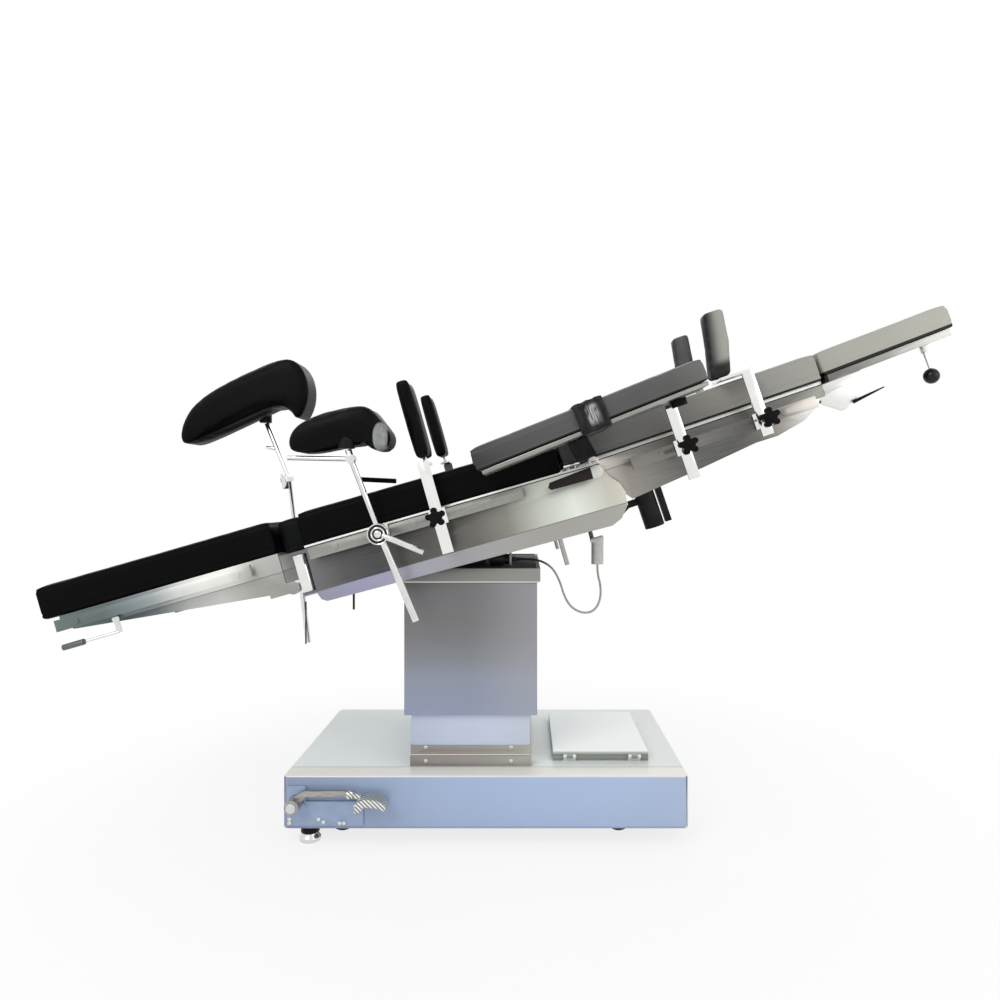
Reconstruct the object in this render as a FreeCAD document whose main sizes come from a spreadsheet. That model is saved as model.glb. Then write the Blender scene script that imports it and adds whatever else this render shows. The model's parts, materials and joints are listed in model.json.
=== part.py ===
import FreeCAD, Part
import math
import os
import re

import Sketcher

# Operating table with a telescopic column on a wheeled base. Millimetres, +X towards the head
# end, +Y away from the operator's side, +Z up. The origin is on the floor under the base's centre.

# Each row is a size's name, its value and what it measures. A value that follows from another
# size is a formula of the sheet.
BASE_SIZES = [
    ("base_length", 870, "base cover along X"),
    ("base_depth", 500, "base cover along Y"),
    ("base_low", 40, "lower edge of the base cover above the floor"),
    ("base_top", 152, "top face of the base cover"),
    ("cover_wall", 3, "sheet of the base cover"),
    ("cover_corner", 14, "outside radius of the cover's upright corners"),
    ("cover_edge", 5, "outside radius round the cover's top"),
    ("seat_gap", 0.3, "gap between faces that lie on each other on two bodies"),
    ("run_gap", 0.05, "radial clearance of pins and shafts"),
    ("chassis_low", 74, "underside of the chassis"),
    ("chassis_half_depth", "=base_depth / 2 - 60", "outer face of the long beams from the centre"),
    ("beam_width", 50, "width of the long beams"),
    ("beam_reach", 400, "half length of the long beams"),
    ("tray_thick", 6, "bottom plate that carries the lift cylinder"),
    ("caster_reach", 310, "caster stems from the centre along X"),
    ("caster_side", "=base_depth / 2 - 85", "caster stems from the centre along Y"),
    ("wheel_radius", 30, "caster wheel"),
    ("wheel_width", 20, "caster wheel"),
    ("caster_trail", 16, "axle behind the caster's stem"),
    ("axle_radius", 5, "caster axle"),
    ("stem_radius", 8, "caster stem"),
    ("stem_rise", 40, "caster stem inside the chassis"),
    ("fork_plate", 6, "top plate of the caster fork"),
    ("fork_plate_radius", 24, "top plate of the caster fork"),
    ("fork_cheek", 3, "cheek of the caster fork"),
    ("fork_side_gap", 1, "gap between wheel and cheek"),
    ("hatch_left", 147, "battery hatch along X, low side"),
    ("hatch_right", 363, "battery hatch along X, high side"),
    ("hatch_front", "=base_depth / 2 - 94", "battery hatch's front edge before the centre"),
    ("hatch_back", "=base_depth / 2 - 100", "battery hatch's back edge behind the centre"),
    ("hatch_layer", 11, "height of the hatch frame, and of its lid"),
    ("hatch_rim", 14, "width of the hatch frame's ring"),
    ("hatch_pin_radius", 2.5, "hatch hinge pin"),
    ("hatch_knuckle", 5, "outside radius of the hatch hinge knuckles"),
    ("foot_x", 385, "brake foot left of the centre"),
    ("foot_y", "=base_depth / 2 - 35", "brake foot before the centre"),
    ("foot_radius", 23, "brake foot disc"),
    ("foot_stem", 8, "radius of the brake foot's stem"),
    ("pedal_x", 404, "pedal pivot left of the centre"),
    ("pedal_height", 100, "pedal pivot above the floor"),
    ("pedal_hub", 15, "radius of the pedal hub"),
    ("pedal_pin", 6, "radius of the pedal pin"),
    ("pedal_reach", 199, "far end of the tread from the pivot"),
    ("tread_depth", 40, "tread along Y"),
]
COLUMN_SIZES = [
    ("column_x", 36, "column centre left of the base's centre"),
    ("shroud_length", 264, "lower shroud along X"),
    ("shroud_depth", 380, "lower shroud along Y"),
    ("shroud_top", 470, "upper edge of the lower shroud"),
    ("shroud_wall", 2.5, "sheet of the shrouds"),
    ("skirt_height", 23, "height of each of the two skirt strips"),
    ("skirt_proud", 2.5, "thickness of the skirt strips"),
    ("sleeve_length", 294, "upper shroud along X"),
    ("sleeve_depth", 400, "upper shroud along Y"),
    ("sleeve_low", 267, "lower edge of the upper shroud"),
    ("sleeve_top", 560, "upper edge of the upper shroud"),
    ("collar_length", 308, "collar along X"),
    ("collar_depth", 410, "collar along Y"),
    ("collar_top", 592, "top of the collar"),
    ("collar_wall", 9, "ring of the collar"),
    ("head_plate", 12, "plate that closes the collar"),
    ("cylinder_radius", 60, "lift cylinder"),
    ("cylinder_top", 455, "top of the lift cylinder"),
    ("cylinder_floor", 12, "closed foot of the lift cylinder"),
    ("ram_radius", 50, "lift ram"),
    ("ram_low", 215, "lower end of the lift ram at rest"),
    ("tilt_height", 665, "tilt axis above the floor"),
    ("tilt_shaft", 15, "radius of the tilt shaft"),
    ("ear_inner", 52, "inner face of the yoke ears from the centre"),
    ("ear_outer", 68, "outer face of the yoke ears from the centre"),
    ("ear_radius", 28, "half width of the yoke ears"),
    ("gland_y", 120, "cable gland before the centre"),
    ("gland_radius", 15, "cable gland"),
    ("gland_start", 39, "cable gland's left end from the column's centre"),
    ("gland_end", 94, "cable gland's right end from the column's centre"),
    ("cable_radius", 2.5, "cable"),
]
SEAT_SIZES = [
    ("rest_tilt", 16, "slope of the tabletop in degrees"),
    ("table_half", 250, "half width of the tabletop"),
    ("panel_wall", 5, "sheet of the side panels"),
    ("frame_top", 77, "top of the seat and leg frames above the tilt axis"),
    ("deck_thick", 6, "deck under the cushions"),
    ("seat_left", 345, "left end of the seat frame"),
    ("seat_deck_right", 228, "right end of the seat deck"),
    ("seat_fold", 50, "lower edge of the seat panels below the tilt axis"),
    ("ear_x", 292, "centre of the seat panel's rounded end"),
    ("ear_end_radius", 57, "radius of the seat panel's rounded end"),
    ("ear_drop", 7, "centre of the rounded end below the tilt axis"),
    ("hanger_inner", 80, "roll bearing hangers, inner face"),
    ("hanger_outer", 98, "roll bearing hangers, outer face"),
    ("hanger_half", 40, "half width of the hangers"),
    ("roll_shaft", 16, "radius of the roll shaft"),
    ("hanger_wall", 6, "wall round the roll bearing"),
    ("cradle_half", 40, "half length of the cradle block"),
    ("cradle_rise", 30, "half height of the cradle block"),
    ("tail_radius", 10, "cradle tail that carries the cable bracket"),
    ("tail_end", 268, "end of the cradle tail"),
    ("socket_x", 272, "cable socket along the cradle tail"),
    ("socket_drop", 56, "cable socket below its bracket"),
    ("rail_inner", "=table_half + 12", "inner face of the side rails from the centre"),
    ("rail_thick", 10, "thickness of the side rails"),
    ("rail_low", 45, "lower edge of the side rails"),
    ("rail_high", 70, "upper edge of the side rails"),
    ("seat_rail_left", 333, "left end of the seat rails"),
    ("seat_rail_right", 137, "right end of the seat rails"),
    ("spacer_radius", 7, "rail spacers"),
    ("screw_radius", 7, "rail screw heads"),
    ("screw_head", 2.5, "height of the rail screw heads"),
    ("cushion_low", 88, "underside of the seat and leg cushions"),
    ("cushion_top", 150, "top of the seat and leg cushions"),
    ("cushion_round", 12, "edge radius of the cushions"),
    ("seat_pad_left", 344, "left end of the seat cushion"),
    ("seat_pad_right", 230, "right end of the seat cushion"),
    ("gap_pad_left", 402, "left end of the narrow pad between seat and legs"),
    ("gap_pad_right", 345, "right end of the narrow pad"),
    ("rod_x", 186, "guide rods along the seat"),
    ("rod_y", "=table_half - 12", "guide rods from the centre"),
    ("rod_low", 118, "lower end of the guide rods below the tilt axis"),
    ("rod_radius", 5, "guide rods"),
    ("bridge_low", 90.5, "underside of the kidney pad"),
    ("bridge_left", 232, "kidney pad, left end"),
    ("bridge_right", 297, "kidney pad, right end"),
    ("bridge_post_x", 261, "posts of the kidney bridge along the seat"),
    ("bridge_post_y", "=table_half - 90", "posts of the kidney bridge from the centre"),
    ("bridge_post", 8, "radius of the bridge posts"),
    ("bridge_bar_low", 40, "underside of the bar that guides the posts"),
    ("bridge_bar_high", 66, "top of the bar that guides the posts"),
    ("crank_x", 297, "bridge crank along the seat"),
    ("crank_z", 58, "bridge crank above the tilt axis"),
    ("crank_reach", 107, "bridge crank grip"),
    ("crank_root", 13, "half height of the crank at its hub"),
    ("crank_tip", 8, "half height of the crank at its tip"),
    ("crank_pin", 5, "radius of the crank pin"),
    ("crank_inner", "=table_half + 29", "inner face of the crank grip from the centre"),
    ("crank_outer", "=table_half + 47", "outer face of the crank grip from the centre"),
]
BACK_SIZES = [
    ("back_hinge_x", 300, "back hinge along the seat"),
    ("back_hinge_z", 80, "back hinge above the tilt axis"),
    ("back_slope", 2.7, "slope of the back against the seat in degrees"),
    ("back_lug", 11, "radius of the back hinge lugs"),
    ("back_pin", 6, "radius of the back hinge pins"),
    ("back_length", 521, "back frame"),
    ("back_panel_half", "=table_half - 12.3", "outer face of the back panels"),
    ("back_deck_low", 2, "underside of the back deck"),
    ("back_pad_low", 12, "underside of the back cushion"),
    ("back_pad_high", 70, "top of the back cushion"),
    ("back_pad_start", 3, "start of the back cushion"),
    ("back_pad_end", 520, "end of the back cushion"),
    ("back_rail_start", 73, "start of the back rails"),
    ("back_rail_end", 485, "end of the back rails"),
    ("back_rail_mid", 31, "middle of the back rails below the hinge"),
    ("back_screw_foot", 140, "back rails' first screw"),
    ("back_screw_head", 412, "back rails' second screw"),
    ("back_tube_foot", 190, "first cross tube of the back frame"),
    ("back_tube_head", 400, "second cross tube of the back frame"),
    ("motor_x", 103, "back actuator's motor along the back"),
    ("motor_y", 100, "back actuator's motor before the centre"),
    ("motor_radius", 23, "back actuator's motor"),
    ("motor_low", 188, "lower end of the motor"),
    ("head_hinge_x", 530, "head hinge along the back"),
    ("head_hinge_drop", 18, "head hinge below the back hinge's level"),
    ("head_slope", 2.2, "slope of the head section against the back in degrees"),
    ("head_lug", 14, "radius of the head hinge lugs"),
    ("head_pin", 7, "radius of the head hinge pins"),
    ("head_lug_inner", "=table_half - 99", "inner face of the head hinge lugs"),
    ("head_lug_outer", "=table_half - 80", "outer face of the head hinge lugs"),
    ("head_length", 285, "head frame"),
    ("head_plate_low", 18, "underside of the head plate"),
    ("head_plate_high", 33, "top of the head plate"),
    ("head_pad_start", 2, "head cushion starts this far before the hinge"),
    ("head_pad_end", 297, "end of the head cushion"),
    ("head_pad_high", 87, "top of the head cushion"),
    ("head_lever_x", 248, "head lock lever along the head section"),
    ("head_lever_y", "=table_half - 50", "head lock lever before the centre"),
    ("head_ball", 17, "radius of the ball knob"),
    ("head_ball_drop", 51, "ball knob below the head hinge's level"),
]
LEG_SIZES = [
    ("swing_x", 362, "upright leg hinge along the seat"),
    ("swing_y", "=table_half - 14", "upright leg hinge from the centre"),
    ("swing_pin", 7, "radius of the upright hinge pin"),
    ("lug_half", 13, "half width of the hinge lugs"),
    ("lug_thick", 8, "thickness of the hinge lugs"),
    ("lug_high", 62, "underside of the upper lug"),
    ("lug_low", 20, "top of the lower lug below the tilt axis"),
    ("fold_x", 392, "leg fold hinge along the seat"),
    ("fold_drop", 3, "leg fold hinge below the tilt axis"),
    ("fold_pin", 6, "radius of the fold pin"),
    ("fold_lug", 14, "radius of the fold lugs"),
    ("tongue_inner", "=table_half - 22", "inner face of the bracket's tongue"),
    ("tongue_outer", "=table_half - 6", "outer face of the bracket's tongue"),
    ("leg_left", 890, "left end of the leg frames"),
    ("leg_right", 404, "right end of the leg frames"),
    ("leg_inner", 4, "inner face of the leg frames from the centre"),
    ("leg_pad_left", 928, "left end of the leg cushions"),
    ("leg_pad_right", 405, "right end of the leg cushions"),
    ("leg_board_left", 892, "left end of the boards under the leg cushions"),
    ("leg_rail_left", 890, "left end of the leg rails"),
    ("leg_rail_right", 461, "right end of the leg rails"),
    ("leg_lever_x", 772, "leg release lever along the leg"),
    ("leg_lever_z", 38, "leg release lever above the tilt axis"),
    ("leg_lever_pin", 4, "radius of the lever's pin"),
    ("leg_grip", 6.5, "radius of the lever's grip"),
]
ACCESSORY_SIZES = [
    ("clamp_half", 18, "half length of a rail clamp"),
    ("clamp_plate", 4, "plates of a rail clamp"),
    ("knob_radius", 21, "star knobs"),
    ("knob_thick", 16, "star knobs"),
    ("knob_stem", 34, "screws between the flat bars and their star knobs"),
    ("bar_thick", 6, "flat bars of the supports"),
    ("bar_half", 12, "half width of the flat bars"),
    ("support_x", 48, "seat supports left of the tilt axis"),
    ("support_foot", 21, "lower end of the seat supports' bars"),
    ("support_top", 170, "bend of the near seat support's bar"),
    ("support_far_rise", 26, "far seat support drawn out more than the near one"),
    ("back_support_x", 362, "near back support along the back"),
    ("back_support_far_x", 404, "far back support along the back"),
    ("back_support_foot", 20, "lower end of the back supports' bars"),
    ("back_support_top", 74, "bend of the near back support's bar"),
    ("back_support_far_rise", 34, "far back support drawn out more than the near one"),
    ("back_pad_shift", 46, "back supports' pads towards the foot end of their bars"),
    ("back_pad_half", 22, "half thickness of the back supports' pads"),
    ("back_pad_inner", "=table_half - 36", "inner edge of the back supports' pads from the centre"),
    ("back_pad_tall", 142, "height of the back supports' pads"),
    ("back_pad_gap", 12, "back supports' pads above the bars' bends"),
    ("pad_half", 17, "half thickness of the body supports' pads"),
    ("pad_inner", "=table_half - 80", "inner edge of the pads from the centre"),
    ("pad_outer", "=table_half + 8", "outer edge of the pads from the centre"),
    ("pad_height", 174, "height of the pads"),
    ("pad_gap", 22, "pads above the bars' bends"),
    ("arm_x", 187, "arm board bar along the back"),
    ("arm_bar_low", 102, "lower end of the arm board's bar"),
    ("arm_pivot_y", "=table_half + 113", "arm board pivot before the centre"),
    ("arm_plate_high", 61.7, "top of the arm board's carrier"),
    ("arm_slope", 3, "slope of the arm board against the back in degrees"),
    ("arm_tail", 425, "arm board towards the foot end from its pivot"),
    ("arm_nose", 60, "arm board towards the head end from its pivot"),
    ("arm_half", 61, "half width of the arm board"),
    ("arm_tray", 10, "thickness of the arm board's tray"),
    ("arm_pad", 46, "thickness of the arm board's cushion"),
    ("holder_near_x", 174, "near leg holder left of the tilt axis"),
    ("holder_far_x", 533, "far leg holder left of the tilt axis"),
    ("post_radius", 6, "leg holder posts"),
    ("tube_radius", 7.75, "lower tube of the leg holder posts"),
    ("holder_pad_half", 55, "half width of the leg holder pads"),
]
GROUPS = [BASE_SIZES, COLUMN_SIZES, SEAT_SIZES, BACK_SIZES, LEG_SIZES, ACCESSORY_SIZES]
FUNCTIONS = {"cos", "sin", "tan", "max", "min", "sqrt"}
TURN_TO = {
    "x": FreeCAD.Rotation(FreeCAD.Vector(0, 1, 0), 90),
    "y": FreeCAD.Rotation(FreeCAD.Vector(1, 0, 0), -90),
    "z": FreeCAD.Rotation(),
}
NEAR, FAR = -1, 1
DOWN_Y = FreeCAD.Vector(0, -1, 0)

doc = FreeCAD.newDocument("OperatingTable")
sheet = doc.addObject("Spreadsheet::Sheet", "Sizes")
row = 0
for group in GROUPS:
    for alias, value, meaning in group:
        row += 1
        sheet.set(f"A{row}", alias)
        sheet.set(f"B{row}", str(value))
        sheet.setAlias(f"B{row}", alias)
        sheet.set(f"C{row}", meaning)
doc.recompute()
pieces = []


def size(alias):
    return float(sheet.get(alias))


def named(text):
    """Turn the size names of an expression into references to the sheet."""
    return re.sub(r"[a-z][a-z_]*", lambda word: word[0] if word[0] in FUNCTIONS else f"Sizes.{word[0]}", text)


def bind(thing, prop, value):
    thing.setExpression(prop, named(f"{value}"))


def minus(text):
    return f"-({text})"


def across(side, inner, outer):
    """The two places along Y of something that lies between inner and outer on one side."""
    if side == FAR:
        return (inner, outer)
    return (minus(outer), minus(inner))


def block(along, width, height):
    """A box between two places on each axis."""
    solid = doc.addObject("Part::Box", "Block")
    for prop, axis, (low, high) in zip(("Length", "Width", "Height"), "xyz", (along, width, height)):
        bind(solid, prop, f"({high}) - ({low})")
        bind(solid, f"Placement.Base.{axis}", low)
    return solid


def rod(axis, radius, centre, low, high):
    """A cylinder along an axis, its centre given as the two other coordinates in order."""
    solid = doc.addObject("Part::Cylinder", "Rod")
    solid.Placement = FreeCAD.Placement(FreeCAD.Vector(), TURN_TO[axis])
    bind(solid, "Radius", radius)
    bind(solid, "Height", f"({high}) - ({low})")
    others = [name for name in "xyz" if name != axis]
    bind(solid, f"Placement.Base.{axis}", low)
    bind(solid, f"Placement.Base.{others[0]}", centre[0])
    bind(solid, f"Placement.Base.{others[1]}", centre[1])
    return solid


def ball(radius, centre):
    solid = doc.addObject("Part::Sphere", "Ball")
    solid.Placement.Rotation = FreeCAD.Rotation(FreeCAD.Vector(1, 1, 0), 70)
    bind(solid, "Radius", radius)
    for axis, place in zip("xyz", centre):
        bind(solid, f"Placement.Base.{axis}", place)
    return solid


def fused(parts):
    if len(parts) == 1:
        return parts[0]
    whole = doc.addObject("Part::MultiFuse", "Whole")
    whole.Shapes = parts
    return whole


def drilled(base, tools):
    rest = doc.addObject("Part::Cut", "Drilled")
    rest.Base = base
    rest.Tool = fused(tools)
    return rest


def new_body():
    return doc.addObject("PartDesign::Body", "Body")


def plane_of(body, role):
    for feature in body.Origin.OriginFeatures:
        if feature.Role == role:
            return feature
    raise ValueError(role)


def outline(body, role, points, offset):
    """A closed sketch of straight lines whose corners are bound to the sheet."""
    sketch = body.newObject("Sketcher::SketchObject", "Outline")
    sketch.AttachmentSupport = [(plane_of(body, role), "")]
    sketch.MapMode = "FlatFace"
    bind(sketch, "AttachmentOffset.Base.z", offset)
    count = len(points)
    start = [FreeCAD.Vector(10 * math.cos(2 * math.pi * n / count), 10 * math.sin(2 * math.pi * n / count), 0)
             for n in range(count)]
    for n in range(count):
        sketch.addGeometry(Part.LineSegment(start[n], start[(n + 1) % count]), False)
    for n in range(count):
        sketch.addConstraint(Sketcher.Constraint("Coincident", n, 2, (n + 1) % count, 1))
    for n, (across_place, up_place) in enumerate(points):
        for kind, place in (("DistanceX", across_place), ("DistanceY", up_place)):
            number = sketch.addConstraint(Sketcher.Constraint(kind, n, 1, 1.0))
            bind(sketch, f"Constraints[{number}]", place)
    return sketch


def rectangle(low_a, high_a, low_b, high_b):
    return [(low_a, low_b), (high_a, low_b), (high_a, high_b), (low_a, high_b)]


def pad(body, role, points, low, high):
    """Push an outline out between two places along its plane's axis."""
    start = minus(high) if role == "XZ_Plane" else low
    sketch = outline(body, role, points, start)
    feature = body.newObject("PartDesign::Pad", "Pad")
    feature.Profile = sketch
    bind(feature, "Length", f"({high}) - ({low})")
    return feature


def pocket(body, role, points, low, high):
    """Cut an outline away between two places along its plane's axis."""
    before = solid_volume(body)
    start = low if role == "XZ_Plane" else high
    sketch = outline(body, role, points, minus(start) if role == "XZ_Plane" else start)
    feature = body.newObject("PartDesign::Pocket", "Pocket")
    feature.Profile = sketch
    bind(feature, "Length", f"({high}) - ({low})")
    if solid_volume(body) >= before:
        raise RuntimeError("a pocket cut nothing")
    return feature


def solid_volume(body):
    doc.recompute()
    return body.Shape.Volume


def turned(body, points, axis="V_Axis"):
    """Spin a half section, drawn in the XZ plane, round the upright axis."""
    sketch = outline(body, "XZ_Plane", points, "0")
    feature = body.newObject("PartDesign::Revolution", "Turned")
    feature.Profile = sketch
    feature.ReferenceAxis = (sketch, [axis])
    feature.Angle = 360
    return feature


def runs_along(edge, axis):
    if edge.Curve.TypeId != "Part::GeomLine":
        return False
    return abs(edge.Curve.Direction.dot(axis)) > 0.999


def soften(body, radius, wanted, kind="PartDesign::Fillet"):
    """Round, or chamfer, the wanted edges of the body's last feature."""
    doc.recompute()
    last = body.Tip
    names = [f"Edge{n + 1}" for n, edge in enumerate(last.Shape.Edges) if wanted(edge)]
    if not names:
        raise RuntimeError("no edge to soften")
    feature = body.newObject(kind, "Softened")
    feature.Base = (last, names)
    bind(feature, "Radius" if kind.endswith("Fillet") else "Size", radius)
    return feature


UP = FreeCAD.Vector(0, 0, 1)
SIDEWAYS = FreeCAD.Vector(0, 1, 0)
ENDWAYS = FreeCAD.Vector(1, 0, 0)


def tilted(x_place, z_place, angle, y_place=0.0):
    """A frame at a place in the XZ plane whose X axis rises by an angle."""
    return FreeCAD.Placement(FreeCAD.Vector(x_place, y_place, z_place), FreeCAD.Rotation(DOWN_Y, angle))


WORLD = FreeCAD.Placement()
TABLE = tilted(-size("column_x"), size("tilt_height"), size("rest_tilt"))
BACK = TABLE * tilted(size("back_hinge_x"), size("back_hinge_z"), size("back_slope"))
HEAD = BACK * tilted(size("head_hinge_x"), -size("head_hinge_drop"), size("head_slope"))
ARM = BACK * tilted(size("arm_x"), size("arm_plate_high") + size("seat_gap"), size("arm_slope"), -size("arm_pivot_y"))


def finish(label, thing, frame=WORLD):
    thing.Label = label
    thing.Placement = frame * thing.Placement
    pieces.append(thing)
    return thing


def cushion(label, frame, along, width, height, radius="cushion_round"):
    body = new_body()
    pad(body, "XY_Plane", rectangle(along[0], along[1], width[0], width[1]), height[0], height[1])
    soften(body, radius, lambda edge: True)
    return finish(label, body, frame)


def make_base_cover():
    body = new_body()
    half_x, half_y = "base_length / 2", "base_depth / 2"
    pad(body, "XY_Plane", rectangle(minus(half_x), half_x, minus(half_y), half_y), "base_low", "base_top")
    soften(body, "cover_corner", lambda edge: runs_along(edge, UP))
    top = size("base_top") - 0.01
    soften(body, "cover_edge", lambda edge: edge.BoundBox.ZMin > top)
    inner_x, inner_y = f"{half_x} - cover_wall", f"{half_y} - cover_wall"
    pocket(body, "XY_Plane", rectangle(minus(inner_x), inner_x, minus(inner_y), inner_y), "base_low", "base_top - cover_wall")
    window = "(cylinder_radius + 20)"
    pocket(body, "XY_Plane", rectangle(f"-column_x - {window}", f"-column_x + {window}", minus(window), window),
           "base_top - cover_wall - 1", "base_top")
    pocket(body, "XY_Plane", rectangle("hatch_left + hatch_rim", "hatch_right - hatch_rim",
                                       "-hatch_front + hatch_rim", "hatch_back - hatch_rim"),
           "base_top - cover_wall - 1", "base_top")
    finish("base_cover", body)


def make_base_chassis():
    top = "base_top - cover_wall - seat_gap"
    inner = "chassis_half_depth - beam_width"
    beams = [block(("-beam_reach", "beam_reach"), across(side, inner, "chassis_half_depth"), ("chassis_low", top))
             for side in (NEAR, FAR)]
    tray = block(("-column_x - 110", "-column_x + 110"), (minus(inner), inner),
                 ("chassis_low", "chassis_low + tray_thick"))
    ties = [block((f"-column_x + {place} - 10", f"-column_x + {place} + 10"), (minus(inner), inner), ("chassis_low", top))
            for place in (-100, 100)]
    ends = [block(low_high, (minus(inner), inner), ("chassis_low", top))
            for low_high in (("-beam_reach", "-beam_reach + 20"), ("beam_reach - 20", "beam_reach"))]
    lug = block(("-foot_x - 22", "-foot_x + 22"), ("-foot_y - 20", minus("chassis_half_depth")),
                ("chassis_low", "chassis_low + 36"))
    whole = fused(beams + [tray, lug] + ties + ends)
    bores = [rod("z", "stem_radius + run_gap", (f"{x} * caster_reach", f"{y} * caster_side"), "chassis_low - 1", top + " + 1")
             for x in (-1, 1) for y in (-1, 1)]
    bores.append(rod("z", "foot_stem + run_gap", ("-foot_x", "-foot_y"), "chassis_low - 1", "chassis_low + 37"))
    finish("base_chassis", drilled(whole, bores))


def make_caster(name, x_side, y_side):
    x = f"{x_side} * caster_reach"
    y = f"{y_side} * caster_side"
    plate_top = "chassis_low - seat_gap"
    cheek = "wheel_width / 2 + fork_side_gap"
    plate = rod("z", "fork_plate_radius", (x, y), f"{plate_top} - fork_plate", plate_top)
    stem = rod("z", "stem_radius", (x, y), plate_top, "chassis_low + stem_rise")
    axle_x = f"{x} - caster_trail"
    cheeks = [block((f"{axle_x} - 10", f"{x} + 10"), across_from(y, side, cheek, f"{cheek} + fork_cheek"),
                    ("wheel_radius - 8", f"{plate_top} - fork_plate + 1")) for side in (NEAR, FAR)]
    reach = f"{cheek} + fork_cheek"
    axle = rod("y", "axle_radius", (axle_x, "wheel_radius"), f"{y} - ({reach})", f"{y} + {reach}")
    finish(f"caster_fork_{name}", fused([plate, stem, axle] + cheeks))
    body = new_body()
    bore = "axle_radius + run_gap"
    turned(body, [(bore, "-wheel_width / 2"), ("wheel_radius - 3", "-wheel_width / 2"),
                  ("wheel_radius", "-wheel_width / 2 + 4"), ("wheel_radius", "wheel_width / 2 - 4"),
                  ("wheel_radius - 3", "wheel_width / 2"), (bore, "wheel_width / 2")])
    place = FreeCAD.Vector(x_side * size("caster_reach") - size("caster_trail"), y_side * size("caster_side"),
                           size("wheel_radius"))
    finish(f"caster_wheel_{name}", body, FreeCAD.Placement(place, TURN_TO["y"]))


def across_from(centre, side, inner, outer):
    if side == FAR:
        return (f"{centre} + {inner}", f"{centre} + {outer}")
    return (f"{centre} - ({outer})", f"{centre} - ({inner})")


def make_hatch():
    frame_high = "base_top + hatch_layer"
    ring = new_body()
    pad(ring, "XY_Plane", rectangle("hatch_left", "hatch_right", "-hatch_front", "hatch_back"), "base_top", frame_high)
    pocket(ring, "XY_Plane", rectangle("hatch_left + hatch_rim", "hatch_right - hatch_rim",
                                       "-hatch_front + hatch_rim", "hatch_back - hatch_rim"), "base_top", frame_high)
    axis_y = "-hatch_front - hatch_knuckle"
    axis_z = f"{frame_high} + seat_gap"
    frame_parts = [ring]
    lid_parts = []
    lid_bores = []
    for middle in ("hatch_left + 38", "hatch_right - 32"):
        for low, high in ((-15, -7), (7, 15)):
            frame_parts.append(rod("x", "hatch_knuckle", (axis_y, axis_z), f"{middle} + ({low})", f"{middle} + ({high})"))
            frame_parts.append(block((f"{middle} + ({low})", f"{middle} + ({high})"), (axis_y, "-hatch_front + 1"),
                                     (f"{axis_z} - hatch_knuckle", f"{frame_high}")))
        frame_parts.append(rod("x", "hatch_pin_radius", (axis_y, axis_z), f"{middle} - 15", f"{middle} + 15"))
        lid_parts.append(rod("x", "hatch_knuckle", (axis_y, axis_z), f"{middle} - 6.7", f"{middle} + 6.7"))
        lid_parts.append(block((f"{middle} - 6.7", f"{middle} + 6.7"), (axis_y, "-hatch_front + 1"),
                               (f"{axis_z}", f"{axis_z} + hatch_knuckle")))
        lid_bores.append(rod("x", "hatch_pin_radius + run_gap", (axis_y, axis_z), f"{middle} - 8", f"{middle} + 8"))
    finish("hatch_frame", fused(frame_parts))
    leaf = new_body()
    pad(leaf, "XY_Plane", rectangle("hatch_left", "hatch_right", "-hatch_front", "hatch_back"),
        axis_z, f"{frame_high} + hatch_layer")
    soften(leaf, "2", lambda edge: edge.BoundBox.ZMin > size("base_top") + 2 * size("hatch_layer") - 0.1)
    finish("hatch_lid", drilled(fused([leaf] + lid_parts), lid_bores))


def make_brake():
    front = "-base_depth / 2"
    plates = [block(("-pedal_x - 20", "-pedal_x + 20"), (f"{front} - 4", front), ("47", "132")),
              block(("-pedal_x + 20", "-pedal_x + 143"), (f"{front} - 4", front), ("47", "99")),
              rod("y", "pedal_pin", ("-pedal_x", "pedal_height"), f"{front} - 42", f"{front} - 4"),
              rod("y", "pedal_pin + 4", ("-pedal_x", "pedal_height"), f"{front} - 45", f"{front} - 41.3")]
    for x, z in ((-14, 54), (-14, 62), (48, 62), (58, 56), (93, 54), (102, 54), (126, 90)):
        plates.append(rod("y", "3.5", (f"-pedal_x + {x}", f"{z}"), f"{front} - 6", f"{front} - 3"))
    finish("brake_bracket", fused(plates))
    arm = new_body()
    pad(arm, "XZ_Plane", [("-pedal_x - 4", "112"), ("-pedal_x + 19", "127"), ("-pedal_x + 104", "128"),
                          ("-pedal_x + 142", "120"), ("-pedal_x + 142", "110"), ("-pedal_x + 104", "117"),
                          ("-pedal_x + 24", "115"), ("-pedal_x + 8", "96")], f"{front} - 22", f"{front} - 12")
    tread = new_body()
    end = "-pedal_x + pedal_reach"
    pad(tread, "XZ_Plane", [(f"{end} - 66", "96"), (f"{end} - 62", "114"), (f"{end} - 44", "122"), (f"{end} - 20", "120"),
                            (end, "111"), (end, "97"), (f"{end} - 20", "104"), (f"{end} - 44", "106"),
                            (f"{end} - 58", "92")], f"{front} - 12 - tread_depth", f"{front} - 12")
    hub = rod("y", "pedal_hub", ("-pedal_x", "pedal_height"), f"{front} - 41", f"{front} - 4.3")
    collar = rod("x", "9", (f"{front} - 17", "119"), "-pedal_x + 112", "-pedal_x + 124")
    bore = rod("y", "pedal_pin + run_gap", ("-pedal_x", "pedal_height"), f"{front} - 50", f"{front} + 5")
    finish("brake_pedal", drilled(fused([hub, arm, collar, tread]), [bore]))
    foot = new_body()
    turned(foot, [("0", "0"), ("foot_radius - 2", "0"), ("foot_radius", "2"), ("foot_radius", "9"),
                  ("foot_radius - 6", "18"), ("foot_radius - 3", "20"), ("foot_radius - 3", "37"),
                  ("foot_stem", "39"), ("foot_stem", "118"), ("0", "118")])
    finish("brake_foot", foot, FreeCAD.Placement(FreeCAD.Vector(-size("foot_x"), -size("foot_y"), 0), FreeCAD.Rotation()))


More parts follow.
